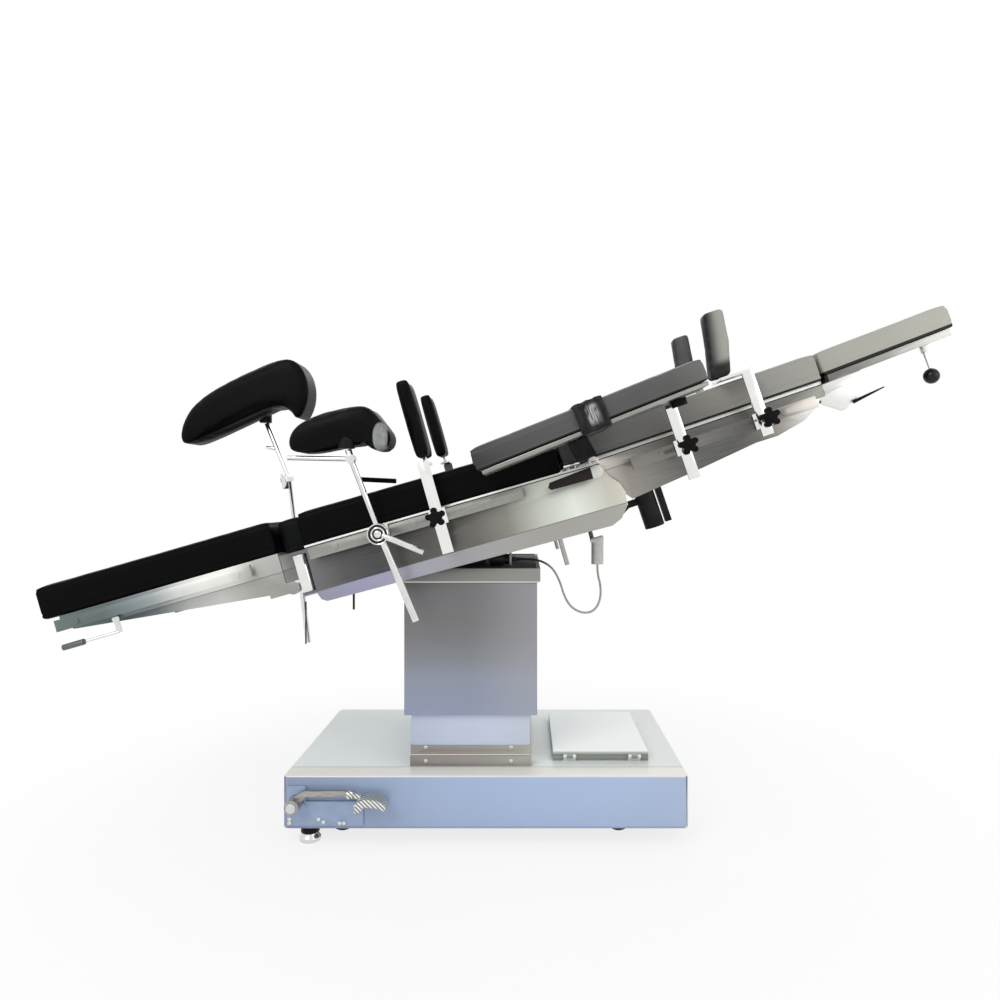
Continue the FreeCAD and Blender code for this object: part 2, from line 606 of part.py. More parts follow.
def tube_body(label, length, depth, wall, low, high, corner="6"):
    """An upright rectangular tube round the column's centre."""
    body = new_body()
    half_x, half_y = f"{length} / 2", f"{depth} / 2"
    pad(body, "XY_Plane", rectangle(f"-column_x - {half_x}", f"-column_x + {half_x}", minus(half_y), half_y), low, high)
    soften(body, corner, lambda edge: runs_along(edge, UP))
    pocket(body, "XY_Plane", rectangle(f"-column_x - {half_x} + {wall}", f"-column_x + {half_x} - {wall}",
                                       f"-({half_y}) + {wall}", f"{half_y} - {wall}"), low, high)
    return finish(label, body)


def make_column():
    tube_body("lower_shroud", "shroud_length", "shroud_depth", "shroud_wall", "base_top", "shroud_top", "3")
    strips = []
    for number in (0, 1):
        step = f"skirt_proud - {number}"
        low, high = f"base_top + {number} * skirt_height", f"base_top + {number + 1} * skirt_height"
        half_x, half_y = f"shroud_length / 2 + {step}", f"shroud_depth / 2 + {step}"
        outer = block((f"-column_x - ({half_x})", f"-column_x + {half_x}"), (minus(half_y), half_y), (low, high))
        hole = block(("-column_x - shroud_length / 2", "-column_x + shroud_length / 2"),
                     ("-shroud_depth / 2", "shroud_depth / 2"), (f"{low} - 1", f"{high} + 1"))
        strips.append(drilled(outer, [hole]))
    screws = [rod("y", "3", (f"-column_x + ({x})", z), f"-shroud_depth / 2 - skirt_proud - 1.2", "-shroud_depth / 2 - 0.5")
              for x in (-100, 89) for z in ("base_top + 7", "base_top + skirt_height + 16")]
    finish("shroud_skirt", fused(strips + screws))
    tube = rod("z", "cylinder_radius", ("-column_x", "0"), "chassis_low + tray_thick", "cylinder_top")
    bore = rod("z", "ram_radius + run_gap", ("-column_x", "0"), "chassis_low + tray_thick + cylinder_floor", "cylinder_top + 1")
    finish("lift_cylinder", drilled(tube, [bore]))
    tube_body("column_sleeve", "sleeve_length", "sleeve_depth", "shroud_wall", "sleeve_low", "sleeve_top", "4")
    tube_body("column_collar", "collar_length", "collar_depth", "collar_wall", "sleeve_top", "collar_top", "6")
    plate_top = "collar_top - 2"
    plate_low = f"{plate_top} - head_plate"
    finish("lift_ram", rod("z", "ram_radius", ("-column_x", "0"), "ram_low", plate_low))
    half_x, half_y = "collar_length / 2 - collar_wall", "collar_depth / 2 - collar_wall"
    plate = block((f"-column_x - ({half_x})", f"-column_x + {half_x}"), (minus(half_y), half_y), (plate_low, plate_top))
    ears = []
    for side in (NEAR, FAR):
        reach = across(side, "ear_inner", "ear_outer")
        ears.append(block(("-column_x - ear_radius", "-column_x + ear_radius"), reach, (plate_top, "tilt_height")))
        ears.append(rod("y", "ear_radius", ("-column_x", "tilt_height"), reach[0], reach[1]))
    bore = rod("y", "tilt_shaft + run_gap", ("-column_x", "tilt_height"), "-ear_outer - 1", "ear_outer + 1")
    finish("column_head", drilled(fused([plate] + ears), [bore]))
    height = f"{plate_top} + gland_radius"
    left, right = "-column_x + gland_start", "-column_x + gland_end"
    gland = [rod("x", "gland_radius", ("-gland_y", height), left, f"{left} + 30"),
             rod("x", "gland_radius - 3", ("-gland_y", height), f"{left} + 30", f"{right} - 10"),
             rod("x", "gland_radius", ("-gland_y", height), f"{right} - 10", f"{right} - 5"),
             rod("x", "cable_radius + 3", ("-gland_y", height), f"{right} - 5", right)]
    finish("cable_gland", fused(gland))


def make_cradle():
    core = block(("-cradle_half", "cradle_half"), ("-ear_inner + 2", "ear_inner - 2"), ("-cradle_rise", "cradle_rise"))
    parts = [core,
             rod("y", "tilt_shaft", ("0", "0"), "-ear_outer - 6", "ear_outer + 6"),
             rod("x", "roll_shaft", ("0", "0"), "-hanger_outer", "hanger_outer"),
             rod("x", "tail_radius", ("0", "0"), "hanger_outer", "tail_end"),
             block(("tail_end - 14", "tail_end"), ("-gland_y - 8", "0"), ("-7", "7")),
             rod("z", "5", ("tail_end - 7", "-gland_y"), "-92", "0"),
             block(("socket_x - 16", "socket_x + 14"), ("-gland_y - 14", "-gland_y + 14"), ("-96", "-88"))]
    socket = rod("z", "14", ("0", "0"), "-socket_drop", "2")
    socket.Placement.Rotation = FreeCAD.Rotation(DOWN_Y, -size("rest_tilt"))
    bind(socket, "Placement.Base.x", "socket_x - socket_drop * sin(rest_tilt)")
    bind(socket, "Placement.Base.y", "-gland_y")
    bind(socket, "Placement.Base.z", "-94 - socket_drop * cos(rest_tilt)")
    finish("tilt_cradle", fused(parts + [socket]), TABLE)


def seat_profile():
    """The seat's side panel: straight top, a rounded foot corner and a round head end."""
    arc = [(f"ear_x + ear_end_radius * cos({angle})", f"-ear_drop + ear_end_radius * sin({angle})")
           for angle in (-80, -55, -25, 5, 30, 55)]
    low = "-seat_fold"
    return [("-seat_left", "frame_top"), ("-seat_left", "-30"), ("-seat_left + 5", "-43"), ("-seat_left + 16", low),
            ("0", f"{low} - 6")] + arc + [("back_hinge_x + 8", "frame_top")]


def make_seat():
    parts = []
    for side in (NEAR, FAR):
        body = new_body()
        reach = across(side, "table_half - panel_wall", "table_half")
        pad(body, "XZ_Plane", seat_profile(), reach[0], reach[1])
        parts.append(body)
        lug_reach = across(side, "back_panel_half + seat_gap", "table_half")
        parts.append(block(("back_hinge_x - back_lug", "back_hinge_x + back_lug"), lug_reach, ("36", "back_hinge_z")))
        parts.append(rod("y", "back_lug", ("back_hinge_x", "back_hinge_z"), lug_reach[0], lug_reach[1]))
        corner = across(side, "swing_y - lug_half", "swing_y + lug_half")
        parts.append(block(("-swing_x - lug_half", "-seat_left + 1"), corner, ("lug_high", "lug_high + lug_thick")))
        parts.append(block(("-swing_x - lug_half", "-seat_left + 1"), corner, ("-lug_low - lug_thick", "-lug_low")))
        parts.append(rod("z", "swing_pin", ("-swing_x", f"{side} * swing_y"), "-lug_low - lug_thick", "lug_high + lug_thick"))
        parts.append(rod("z", "rod_radius", ("rod_x", f"{side} * rod_y"), "-rod_low", "frame_top - 2"))
    inner = "table_half - panel_wall"
    parts.append(block(("-seat_left", "seat_deck_right"), (minus(inner), inner), ("frame_top - deck_thick", "frame_top")))
    parts.append(block(("-seat_left", "-seat_left + panel_wall"), (minus(inner), inner), ("-30", "frame_top")))
    parts.append(block(("bridge_post_x - 17", "bridge_post_x + 17"), (minus(inner), inner), ("bridge_bar_low", "bridge_bar_high")))
    parts.append(block(("seat_deck_right - 6", "bridge_post_x"), ("-60", "60"), ("bridge_bar_low", "bridge_bar_low + 6")))
    parts.append(rod("y", "10", ("285", "-20"), minus(inner), inner))
    for side in (NEAR, FAR):
        low_high = ("-hanger_outer", "-hanger_inner") if side == NEAR else ("hanger_inner", "hanger_outer")
        parts.append(block(low_high, ("-hanger_half", "hanger_half"), ("0", "frame_top - 2")))
        parts.append(rod("x", "roll_shaft + hanger_wall", ("0", "0"), low_high[0], low_high[1]))
    tools = [rod("x", "roll_shaft + run_gap", ("0", "0"), "-hanger_outer - 1", "hanger_outer + 1"),
             rod("y", "back_pin + run_gap", ("back_hinge_x", "back_hinge_z"), "-table_half - 1", "table_half + 1"),
             rod("y", "crank_pin + run_gap", ("crank_x", "crank_z"), "-table_half - 1", "-back_panel_half")]
    for side in (NEAR, FAR):
        tools.append(rod("z", "bridge_post + run_gap", ("bridge_post_x", f"{side} * bridge_post_y"),
                         "bridge_bar_low - 1", "bridge_bar_high + 1"))
    finish("seat_frame", drilled(fused(parts), tools), TABLE)
    cushion("seat_pad", TABLE, ("-seat_pad_left", "seat_pad_right"), ("-table_half", "table_half"),
            ("frame_top", "cushion_top"))
    gap_pad = block(("-gap_pad_left + 1", "-gap_pad_right"), ("-table_half + 30", "table_half - 30"),
                    ("lug_high + lug_thick", "cushion_top - 5"))
    main = pieces.pop()
    main.Placement = WORLD
    finish("seat_cushion", fused([main, gap_pad]), TABLE)


def rail_parts(left, right, mid, places, side):
    """A side rail on round spacers, held by screws, with the rail's middle height given."""
    half = "(rail_high - rail_low) / 2"
    reach = across(side, "rail_inner", "rail_inner + rail_thick")
    parts = [block((left, right), reach, (f"{mid} - {half}", f"{mid} + {half}"))]
    for place in places:
        stand = across(side, "table_half", "rail_inner + 1")
        parts.append(rod("y", "spacer_radius", (place, mid), stand[0], stand[1]))
        head = across(side, "rail_inner + rail_thick - 1", "rail_inner + rail_thick + screw_head")
        parts.append(rod("y", "screw_radius", (place, mid), head[0], head[1]))
    return parts


def make_rails(label, frame, left, right, mid, places):
    parts = []
    for side in (NEAR, FAR):
        parts += rail_parts(left, right, mid, places, side)
    finish(label, fused(parts), frame)


def make_bridge():
    parts = [block(("bridge_left + 5", "bridge_post_x + 12"), ("-220", "220"), ("bridge_low - 6.5", "bridge_low - seat_gap"))]
    for side in (NEAR, FAR):
        parts.append(rod("z", "bridge_post", ("bridge_post_x", f"{side} * bridge_post_y"), "-30", "bridge_low - 6"))
    finish("bridge_carrier", fused(parts), TABLE)
    cushion("kidney_pad", TABLE, ("bridge_left", "bridge_right"), ("-table_half", "table_half"),
            ("bridge_low", "cushion_top - 2"), "8")
    grip = new_body()
    pad(grip, "XZ_Plane", [("crank_x", "crank_z + crank_root"), ("crank_x - crank_reach + 6", "crank_z - 4 + crank_tip"),
                           ("crank_x - crank_reach", "crank_z - 6"), ("crank_x - crank_reach + 6", "crank_z - 4 - crank_tip"),
                           ("crank_x", "crank_z - crank_root")], "-crank_outer", "-crank_inner")
    hub = rod("y", "crank_root", ("crank_x", "crank_z"), "-crank_outer", "-table_half - seat_gap")
    pin = rod("y", "crank_pin", ("crank_x", "crank_z"), "-table_half - 1", "-back_panel_half - 2")
    finish("bridge_crank", fused([grip, hub, pin]), TABLE)


def make_back():
    panel = [("2", "8"), ("2", "-28"), ("56", "-103"), ("202", "-90"), ("347", "-74"), ("396", "-75"), ("460", "-62"),
             ("back_length - 21", "-40"), ("back_length", "-8"), ("back_length", "8")]
    parts = []
    for side in (NEAR, FAR):
        body = new_body()
        reach = across(side, "back_panel_half - panel_wall", "back_panel_half")
        pad(body, "XZ_Plane", panel, reach[0], reach[1])
        parts.append(body)
        lug = across(side, "back_panel_half - 12", "back_panel_half")
        parts.append(rod("y", "back_lug - 1", ("0", "0"), lug[0], lug[1]))
        pin = across(side, "back_panel_half - 12", "table_half")
        parts.append(rod("y", "back_pin", ("0", "0"), pin[0], pin[1]))
        boss = across(side, "back_panel_half - 1", "table_half")
        for place in ("back_screw_foot", "back_screw_head"):
            parts.append(rod("y", "spacer_radius + 3", (place, "-back_rail_mid"), boss[0], boss[1]))
        arm = across(side, "head_lug_outer + 2", "head_lug_outer + 16")
        parts.append(block(("head_hinge_x - 50", "back_length"), arm, ("-head_hinge_drop - head_lug", "back_deck_low + 1")))
        parts.append(block(("back_length - 1", "head_hinge_x"), arm,
                           ("-head_hinge_drop - head_lug", "-head_hinge_drop + head_lug")))
        parts.append(rod("y", "head_lug", ("head_hinge_x", "-head_hinge_drop"), arm[0], arm[1]))
        pin = across(side, "head_lug_inner - 3", "head_lug_outer + 16")
        parts.append(rod("y", "head_pin", ("head_hinge_x", "-head_hinge_drop"), pin[0], pin[1]))
    inner = "back_panel_half - 1"
    parts.append(block(("back_pad_start", "back_length"), (minus(inner), inner), ("back_deck_low", "back_deck_low + deck_thick")))
    for place in ("back_tube_foot", "back_tube_head"):
        parts.append(rod("y", "12", (place, "-40"), minus(inner), inner))
    finish("back_frame", fused(parts), BACK)
    cushion("back_cushion", BACK, ("back_pad_start", "back_pad_end"), ("-table_half", "table_half"),
            ("back_deck_low + deck_thick", "back_pad_high"))
    case = block(("motor_x - 30", "motor_x + 45"), ("-motor_y - 28", "-motor_y + 28"), ("-70", "back_deck_low"))
    motor = rod("z", "motor_radius", ("motor_x", "-motor_y"), "-motor_low", "-60")
    bar = block(("motor_x + 27", "motor_x + 41"), ("-motor_y - 9", "-motor_y + 9"), ("-motor_low + 3", "-60"))
    link = leaning_rod("4", (12, -149), (66, -120), -size("motor_y"))
    lug = block(("60", "motor_x - 20"), ("-motor_y - 5", "-motor_y + 5"), ("-128", "-112"))
    finish("back_actuator", fused([case, motor, bar, link, lug]), BACK)


def make_head():
    parts = [block(("-2", "head_length"), ("-table_half + 2", "table_half - 2"), ("head_plate_low", "head_plate_high"))]
    for side in (NEAR, FAR):
        reach = across(side, "head_lug_inner", "head_lug_outer")
        wedge = new_body()
        pad(wedge, "XZ_Plane", [("-6", "-12"), ("48", "-54"), ("101", "-30"), ("112", "0"), ("112", "head_plate_low + 1"),
                                ("-2", "head_plate_low + 1")], reach[0], reach[1])
        parts.append(wedge)
        parts.append(rod("y", "head_lug", ("0", "0"), reach[0], reach[1]))
        cheek = across_from("-head_lever_y", side, "5", "9")
        parts.append(block(("head_lever_x - 7", "head_lever_x + 7"), cheek, ("2", "head_plate_low + 1")))
    parts.append(rod("y", "3", ("head_lever_x", "8"), "-head_lever_y - 9", "-head_lever_y + 9"))
    tools = [rod("y", "head_pin + run_gap", ("0", "0"), "-head_lug_outer - 1", "head_lug_outer + 1")]
    finish("head_frame", drilled(fused(parts), tools), HEAD)
    cushion("head_cushion", HEAD, ("-head_pad_start", "head_pad_end"), ("-table_half", "table_half"),
            ("head_plate_high", "head_pad_high"))
    hub = rod("y", "6", ("head_lever_x", "8"), "-head_lever_y - 4.5", "-head_lever_y + 4.5")
    stem = rod("z", "3", ("head_lever_x - 5", "-head_lever_y"), "-head_ball_drop", "6")
    knob = ball("head_ball", ("head_lever_x - 8", "-head_lever_y", "-head_ball_drop"))
    bore = rod("y", "3 + run_gap", ("head_lever_x", "8"), "-head_lever_y - 6", "-head_lever_y + 6")
    finish("head_lever", drilled(fused([hub, stem, knob]), [bore]), HEAD)


def make_leg(name, side):
    axis = ("-fold_x", "-fold_drop")
    block_reach = across(side, "swing_y - lug_half", "swing_y + lug_half")
    tongue = across(side, "tongue_inner", "tongue_outer")
    barrel = ("-lug_low + seat_gap", "lug_high - seat_gap")
    bracket = [block(("-swing_x - lug_half", "-swing_x"), block_reach, barrel),
               rod("z", "lug_half", ("-swing_x", f"{side} * swing_y"), barrel[0], barrel[1]),
               block(("-fold_x", "-swing_x"), tongue, ("-fold_drop - fold_lug", "-fold_drop + fold_lug")),
               rod("y", "fold_lug", axis, tongue[0], tongue[1])]
    bores = [rod("z", "swing_pin + run_gap", ("-swing_x", f"{side} * swing_y"), "-lug_low - 1", "lug_high + 1"),
             rod("y", "fold_pin + run_gap", axis, f"{tongue[0]} - 1", f"{tongue[1]} + 1")]
    finish(f"leg_{name}_bracket", drilled(fused(bracket), bores), TABLE)
    profile = [("-leg_left", "frame_top"), ("-leg_left", "62"), ("-leg_left + 24", "42"), ("-leg_right - 16", "-8"),
               ("-leg_right - 4", "-8"), ("-leg_right", "0"), ("-leg_right", "frame_top")]
    parts = []
    for inner, outer in (("table_half - panel_wall", "table_half"), ("leg_inner", "leg_inner + panel_wall")):
        body = new_body()
        reach = across(side, inner, outer)
        pad(body, "XZ_Plane", profile, reach[0], reach[1])
        parts.append(body)
    width = across(side, "leg_inner", "table_half")
    parts.append(block(("-leg_left", "-leg_right"), width, ("frame_top - deck_thick", "frame_top")))
    parts.append(block(("-leg_left", "-leg_left + panel_wall"), width, ("62", "frame_top")))
    for inner, outer in (("tongue_inner - 16", "tongue_inner - seat_gap"), ("tongue_outer + seat_gap", "table_half")):
        reach = across(side, inner, outer)
        parts.append(block(("-leg_right - 40", "-fold_x"), reach, ("-fold_drop - fold_lug + 4", "-fold_drop + fold_lug")))
        parts.append(rod("y", "fold_lug", axis, reach[0], reach[1]))
    stay = across(side, "tongue_inner - 16", "tongue_inner - seat_gap")
    parts.append(block(("-leg_right - 40", "-leg_right - 12"), stay, ("0", "frame_top - 2")))
    pin = across(side, "tongue_inner - 16", "table_half")
    parts.append(rod("y", "fold_pin", axis, pin[0], pin[1]))
    parts += rail_parts("-leg_rail_left", "-leg_rail_right", "(rail_low + rail_high) / 2",
                        ("-leg_rail_left + 46", "-leg_rail_right - 30"), side)
    hole = across(side, "table_half - panel_wall - 1", "table_half + 1")
    bores = [rod("y", "leg_lever_pin + run_gap", ("-leg_lever_x", "leg_lever_z"), hole[0], hole[1])]
    finish(f"leg_{name}_frame", drilled(fused(parts), bores), TABLE)
    board = block(("-leg_board_left", "-leg_pad_right"), across(side, "leg_inner", "table_half - 4"), ("frame_top", "cushion_low"))
    soft = new_body()
    reach = across(side, "2", "table_half")
    pad(soft, "XY_Plane", rectangle("-leg_pad_left", "-leg_pad_right", reach[0], reach[1]), "cushion_low", "cushion_top")
    soften(soft, "cushion_round", lambda edge: True)
    finish(f"leg_{name}_cushion", fused([board, soft]), TABLE)
    outer = across(side, "table_half + seat_gap", "table_half + 6")
    arm = block(("-leg_lever_x - 5", "-leg_lever_x + 5"), outer, ("8", "leg_lever_z"))
    hub = rod("y", "8", ("-leg_lever_x", "leg_lever_z"), outer[0], outer[1])
    pin = across(side, "table_half - panel_wall - 3", "table_half + 2")
    shaft = rod("y", "leg_lever_pin", ("-leg_lever_x", "leg_lever_z"), pin[0], pin[1])
    wire = rod("x", "3", (f"{side} * (table_half + 5)", "10"), "-leg_lever_x - 80", "-leg_lever_x")
    grip = rod("x", "leg_grip", (f"{side} * (table_half + 5)", "10"), "-leg_lever_x - 124", "-leg_lever_x - 78")
    finish(f"leg_{name}_lever", fused([arm, hub, shaft, wire, grip]), TABLE)


def rail_clamp(x, mid, side):
    """The hooked plates of a clamp that hangs on a side rail."""
    half = "(rail_high - rail_low) / 2"
    inner_face = "rail_inner - seat_gap"
    outer_face = "rail_inner + rail_thick + seat_gap + screw_head"
    reach = across(side, f"{inner_face} - clamp_plate", f"{outer_face} + clamp_plate")
    lip = across(side, f"{inner_face} - clamp_plate", inner_face)
    front = across(side, outer_face, f"{outer_face} + clamp_plate")
    along = (f"{x} - clamp_half", f"{x} + clamp_half")
    high = f"{mid} + {half} + seat_gap"
    low = f"{mid} - ({half}) - seat_gap"
    return [block(along, reach, (high, f"{high} + clamp_plate")),
            block(along, reach, (f"{low} - clamp_plate", low)),
            block(along, lip, (f"{high} - 4", f"{high} + clamp_plate")),
            block(along, lip, (f"{low} - clamp_plate", f"{low} + 4")),
            block(along, front, (f"{low} - clamp_plate", f"{high} + clamp_plate"))]


def star_knob(x, mid, side, inner):
    """A hub with five rounded lobes on a screw."""
    screw = across(side, f"{inner} - 1", f"{inner} + knob_stem + 1")
    reach = across(side, f"{inner} + knob_stem", f"{inner} + knob_stem + knob_thick")
    parts = [rod("y", "6.5", (x, mid), screw[0], screw[1]),
             rod("y", "knob_radius * 0.62", (x, mid), reach[0], reach[1])]
    for number in range(5):
        angle = 90 + 72 * number
        parts.append(rod("y", "knob_radius * 0.3", (f"{x} + knob_radius * 0.7 * cos({angle})", f"{mid} + knob_radius * 0.7 * sin({angle})"),
                         reach[0], reach[1]))
    return parts


BAR_FACE = "rail_inner + rail_thick + seat_gap + screw_head + clamp_plate"


def make_support(name, frame, x, mid, side, foot, top, shift, lean, pad_sizes):
    """A flat bar clamped on the rail, bent over the cushion, with a padded plate on its end."""
    half, inner_edge, height, gap = pad_sizes
    bar_reach = across(side, BAR_FACE, f"{BAR_FACE} + bar_thick")
    along = (f"{x} - bar_half", f"{x} + bar_half")
    flange_along = (f"{x} - ({shift}) - bar_half", f"{x} + bar_half")
    flange = across(side, "table_half - 34", f"{BAR_FACE} + bar_thick")
    parts = rail_clamp(x, mid, side)
    parts += star_knob(x, mid, side, f"{BAR_FACE} + bar_thick")
    parts.append(block(along, bar_reach, (foot, top)))
    parts.append(block(flange_along, flange, (top, f"{top} + bar_thick")))
    centre = f"{x} - ({shift})"
    centre_y = f"{side} * (table_half - 20)"
    parts.append(rod("z", "5", (centre, centre_y), top, f"{top} + {gap} - 2"))
    finish(f"support_{name}_bar", fused(parts), frame)
    body = new_body()
    reach = across(side, inner_edge, "pad_outer")
    low = f"{top} + {gap} - 4"
    middle = f"{low} + {height} * 0.5"
    high = f"{low} + {height}"
    pad(body, "XZ_Plane", [(f"{centre} - {half}", low), (f"{centre} + {half}", low),
                           (f"{centre} + {half} + ({lean}) * 0.7", middle), (f"{centre} + {half} + ({lean})", high),
                           (f"{centre} - {half} + ({lean})", high), (f"{centre} - {half} + ({lean}) * 0.6", middle)],
        reach[0], reach[1])
    soften(body, "8", lambda edge: edge.BoundBox.YLength > 20 or edge.BoundBox.ZLength < 4)
    bore = rod("z", "5 + run_gap", (centre, centre_y), f"{low} - 1", f"{top} + {gap} - 1")
    finish(f"support_{name}_pad", drilled(body, [bore]), frame)


def make_arm_board():
    bar_reach = across(NEAR, BAR_FACE, f"{BAR_FACE} + bar_thick")
    parts = rail_clamp("arm_x", "-back_rail_mid", NEAR)
    parts += star_knob("arm_x", "-back_rail_mid", NEAR, f"{BAR_FACE} + bar_thick")
    along = ("arm_x - bar_half", "arm_x + bar_half")
    parts.append(block(along, bar_reach, ("-arm_bar_low", "arm_plate_high")))
    parts.append(block(along, ("-arm_pivot_y - 18", minus(BAR_FACE)), ("arm_plate_high - 8", "arm_plate_high")))
    parts.append(rod("z", "16", ("arm_x", "-arm_pivot_y"), "arm_plate_high - 14", "arm_plate_high"))
    finish("arm_bar", fused(parts), BACK)
    tray = block(("-arm_tail + 12", "arm_nose - 6"), ("-arm_half + 6", "arm_half - 6"), ("1.5", "arm_tray"))
    ring = rod("z", "14", ("0", "0"), "seat_gap + 0.7", "4")
    board = new_body()
    pad(board, "XZ_Plane", [("-arm_tail", "arm_tray"), ("arm_nose", "arm_tray"), ("arm_nose", "arm_tray + 24"),
                            ("arm_nose - 20", "arm_tray + arm_pad"), ("-arm_tail + 8", "arm_tray + arm_pad"),
                            ("-arm_tail", "arm_tray + 30")], "-arm_half", "arm_half")
    soften(board, "5", lambda edge: runs_along(edge, SIDEWAYS) or edge.BoundBox.XLength > 300)
    finish("arm_board", fused([tray, ring, board]), ARM)


def leaning_rod(radius, start, end, y_place):
    """A round rod between two points of the XZ plane."""
    low = FreeCAD.Vector(start[0], y_place, start[1])
    line = FreeCAD.Vector(end[0], y_place, end[1]) - low
    solid = doc.addObject("Part::Cylinder", "Rod")
    bind(solid, "Radius", radius)
    solid.Height = line.Length
    solid.Placement = FreeCAD.Placement(low, FreeCAD.Rotation(UP, line))
    return solid


def make_holder(name, side, x, leans, rise, drop, neck, grip, outline_points, pad_y):
    """A clamp on the rail, a leaning post through it and a saddle pad on the post's top."""
    mid = "(rail_low + rail_high) / 2"
    mid_z = (size("rail_low") + size("rail_high")) / 2
    face = size("rail_inner") + size("rail_thick") + size("seat_gap") + size("screw_head") + size("clamp_plate")
    post_y = side * (face + 12)
    centre = -size(x)
    parts = rail_clamp(minus(x), mid, side)
    for inner, thick, radius in (("-0.5", "24", "15"), ("24", "8", "knob_radius + 1")):
        reach = across(side, f"{BAR_FACE} + ({inner})", f"{BAR_FACE} + ({inner}) + {thick}")
        parts.append(rod("y", radius, (minus(x), mid), reach[0], reach[1]))
    bend = (centre + leans[0] * rise, mid_z + rise)
    foot = (centre - leans[1] * drop, mid_z - drop)
    top = (bend[0] + neck[0], bend[1] + neck[1])
    parts.append(leaning_rod("post_radius", (centre, mid_z), bend, post_y))
    parts.append(leaning_rod("tube_radius", foot, (centre, mid_z), post_y))
    parts.append(leaning_rod("6.5", (centre + 8, mid_z - 5), (centre + 80, mid_z - 62), side * (face + 28)))
    parts.append(rod("y", "10", (f"{bend[0]}", f"{bend[1]}"), f"{post_y} - 9", f"{post_y} + 9"))
    parts.append(leaning_rod("7", bend, top, post_y))
    for start, end in grip:
        parts.append(leaning_rod("5", (bend[0] + start[0], bend[1] + start[1]), (bend[0] + end[0], bend[1] + end[1]), post_y))
    finish(f"holder_{name}_post", fused(parts), TABLE)
    body = new_body()
    pad(body, "XZ_Plane", [(f"{a}", f"{b}") for a, b in outline_points], minus("holder_pad_half"), "holder_pad_half")
    soften(body, "9", lambda edge: True)
    middle = f"{post_y - pad_y}"
    saddle = fused([body, rod("z", "17", ("0", middle), "-8.4", "14")])
    local = tilted(top[0], top[1] + 12, -size("rest_tilt"), pad_y)
    finish(f"holder_{name}_pad", saddle, TABLE * local)


def cable_points():
    """The cable's route from the gland to the socket under the seat, chosen by hand."""
    start_x = -size("column_x") + size("gland_end") + 0.05
    level = size("collar_top") - 2 + size("gland_radius")
    y = -size("gland_y")
    socket = TABLE.multVec(FreeCAD.Vector(size("socket_x"), y, -94)) - FreeCAD.Vector(0, 0, size("socket_drop") + 0.05)
    route = [(start_x, level), (start_x + 32, level), (start_x + 62, level - 3), (start_x + 90, level - 20),
             (start_x + 107, level - 52), (start_x + 116, level - 84), (start_x + 132, level - 112),
             (start_x + 160, level - 126), (socket.x - 8, level - 121), (socket.x + 7, level - 96),
             (socket.x + 8, level - 62), (socket.x, level - 34), (socket.x, socket.z)]
    return [FreeCAD.Vector(px, y, pz) for px, pz in route]


def cable_path(points):
    """Straight runs joined by tangent arcs, each arc as large as its two runs allow."""
    edges = []
    last = points[0]
    for before, corner, after in zip(points, points[1:], points[2:]):
        back = before - corner
        ahead = after - corner
        turn = math.pi - back.getAngle(ahead)
        room = 0.45 * min(back.Length, ahead.Length)
        print("cable radius", round(room / math.tan(turn / 2), 1))
        first = corner + back.normalize() * room
        second = corner + ahead.normalize() * room
        bisector = (back + ahead).normalize()
        radius = room / math.tan(turn / 2)
        middle = corner + bisector * (math.hypot(radius, room) - radius)
        edges.append(Part.LineSegment(last, first).toShape())
        edges.append(Part.Arc(first, middle, second).toShape())
        last = second
    edges.append(Part.LineSegment(last, points[-1]).toShape())
    return Part.Wire(edges)


def make_cable():
    points = cable_points()
    path = cable_path(points)
    ring = Part.Wire([Part.Circle(points[0], points[1] - points[0], size("cable_radius")).toShape()])
    tube = path.makePipeShell([ring], True, True)
    expected = math.pi * size("cable_radius") ** 2 * path.Length
    if abs(tube.Volume / expected - 1) > 0.01:
        raise RuntimeError("the cable's tube has the wrong volume")
    print("cable length", round(path.Length, 1))
    feature = doc.addObject("Part::Feature", "Cable")
    feature.Shape = tube
    finish("tilt_cable", feature)


NEAR_PAD = [(-118, 10), (-98, 50), (26, 80), (52, 74), (66, 45), (92, 24), (90, -2), (70, -16), (50, -7), (40, 8), (-16, 0),
            (-56, -10), (-98, -18), (-114, -12)]
FAR_PAD = [(-206, -14), (-164, 65), (56, 160), (98, 158), (132, 120), (143, 60), (124, 4), (106, -2), (92, 24), (64, 32),
           (24, 22), (-24, 0), (-190, -74), (-208, -60)]

make_base_cover()
make_base_chassis()
for corner_name, corner_x, corner_y in (("foot_near", -1, -1), ("foot_far", -1, 1), ("head_near", 1, -1), ("head_far", 1, 1)):
    make_caster(corner_name, corner_x, corner_y)
make_hatch()
make_brake()
make_column()
make_cradle()
make_seat()
RAIL_MID = "(rail_low + rail_high) / 2"
make_rails("seat_rails", TABLE, "-seat_rail_left", "seat_rail_right", RAIL_MID, ("-275", "-103", "68"))
make_bridge()
make_back()
make_rails("back_rails", BACK, "back_rail_start", "back_rail_end", "-back_rail_mid", ("back_screw_foot", "back_screw_head"))
make_head()
for leg_name, leg_side in (("near", NEAR), ("far", FAR)):
    make_leg(leg_name, leg_side)
for support_name, support_side in (("near", NEAR), ("far", FAR)):
    far = "0" if support_side == NEAR else "1"
    make_support(f"seat_{support_name}", TABLE, "-support_x", RAIL_MID, support_side, "-support_foot",
                 f"support_top + {far} * support_far_rise", "0", "0", ("pad_half", "pad_inner", "pad_height", "pad_gap"))
    make_support(f"back_{support_name}", BACK, f"back_support_x + {far} * (back_support_far_x - back_support_x)",
                 "-back_rail_mid", support_side, "-back_support_foot - 45",
                 f"back_support_top + {far} * back_support_far_rise", "back_pad_shift", "28",
                 ("back_pad_half", "back_pad_inner", "back_pad_tall", "back_pad_gap"))
make_arm_board()
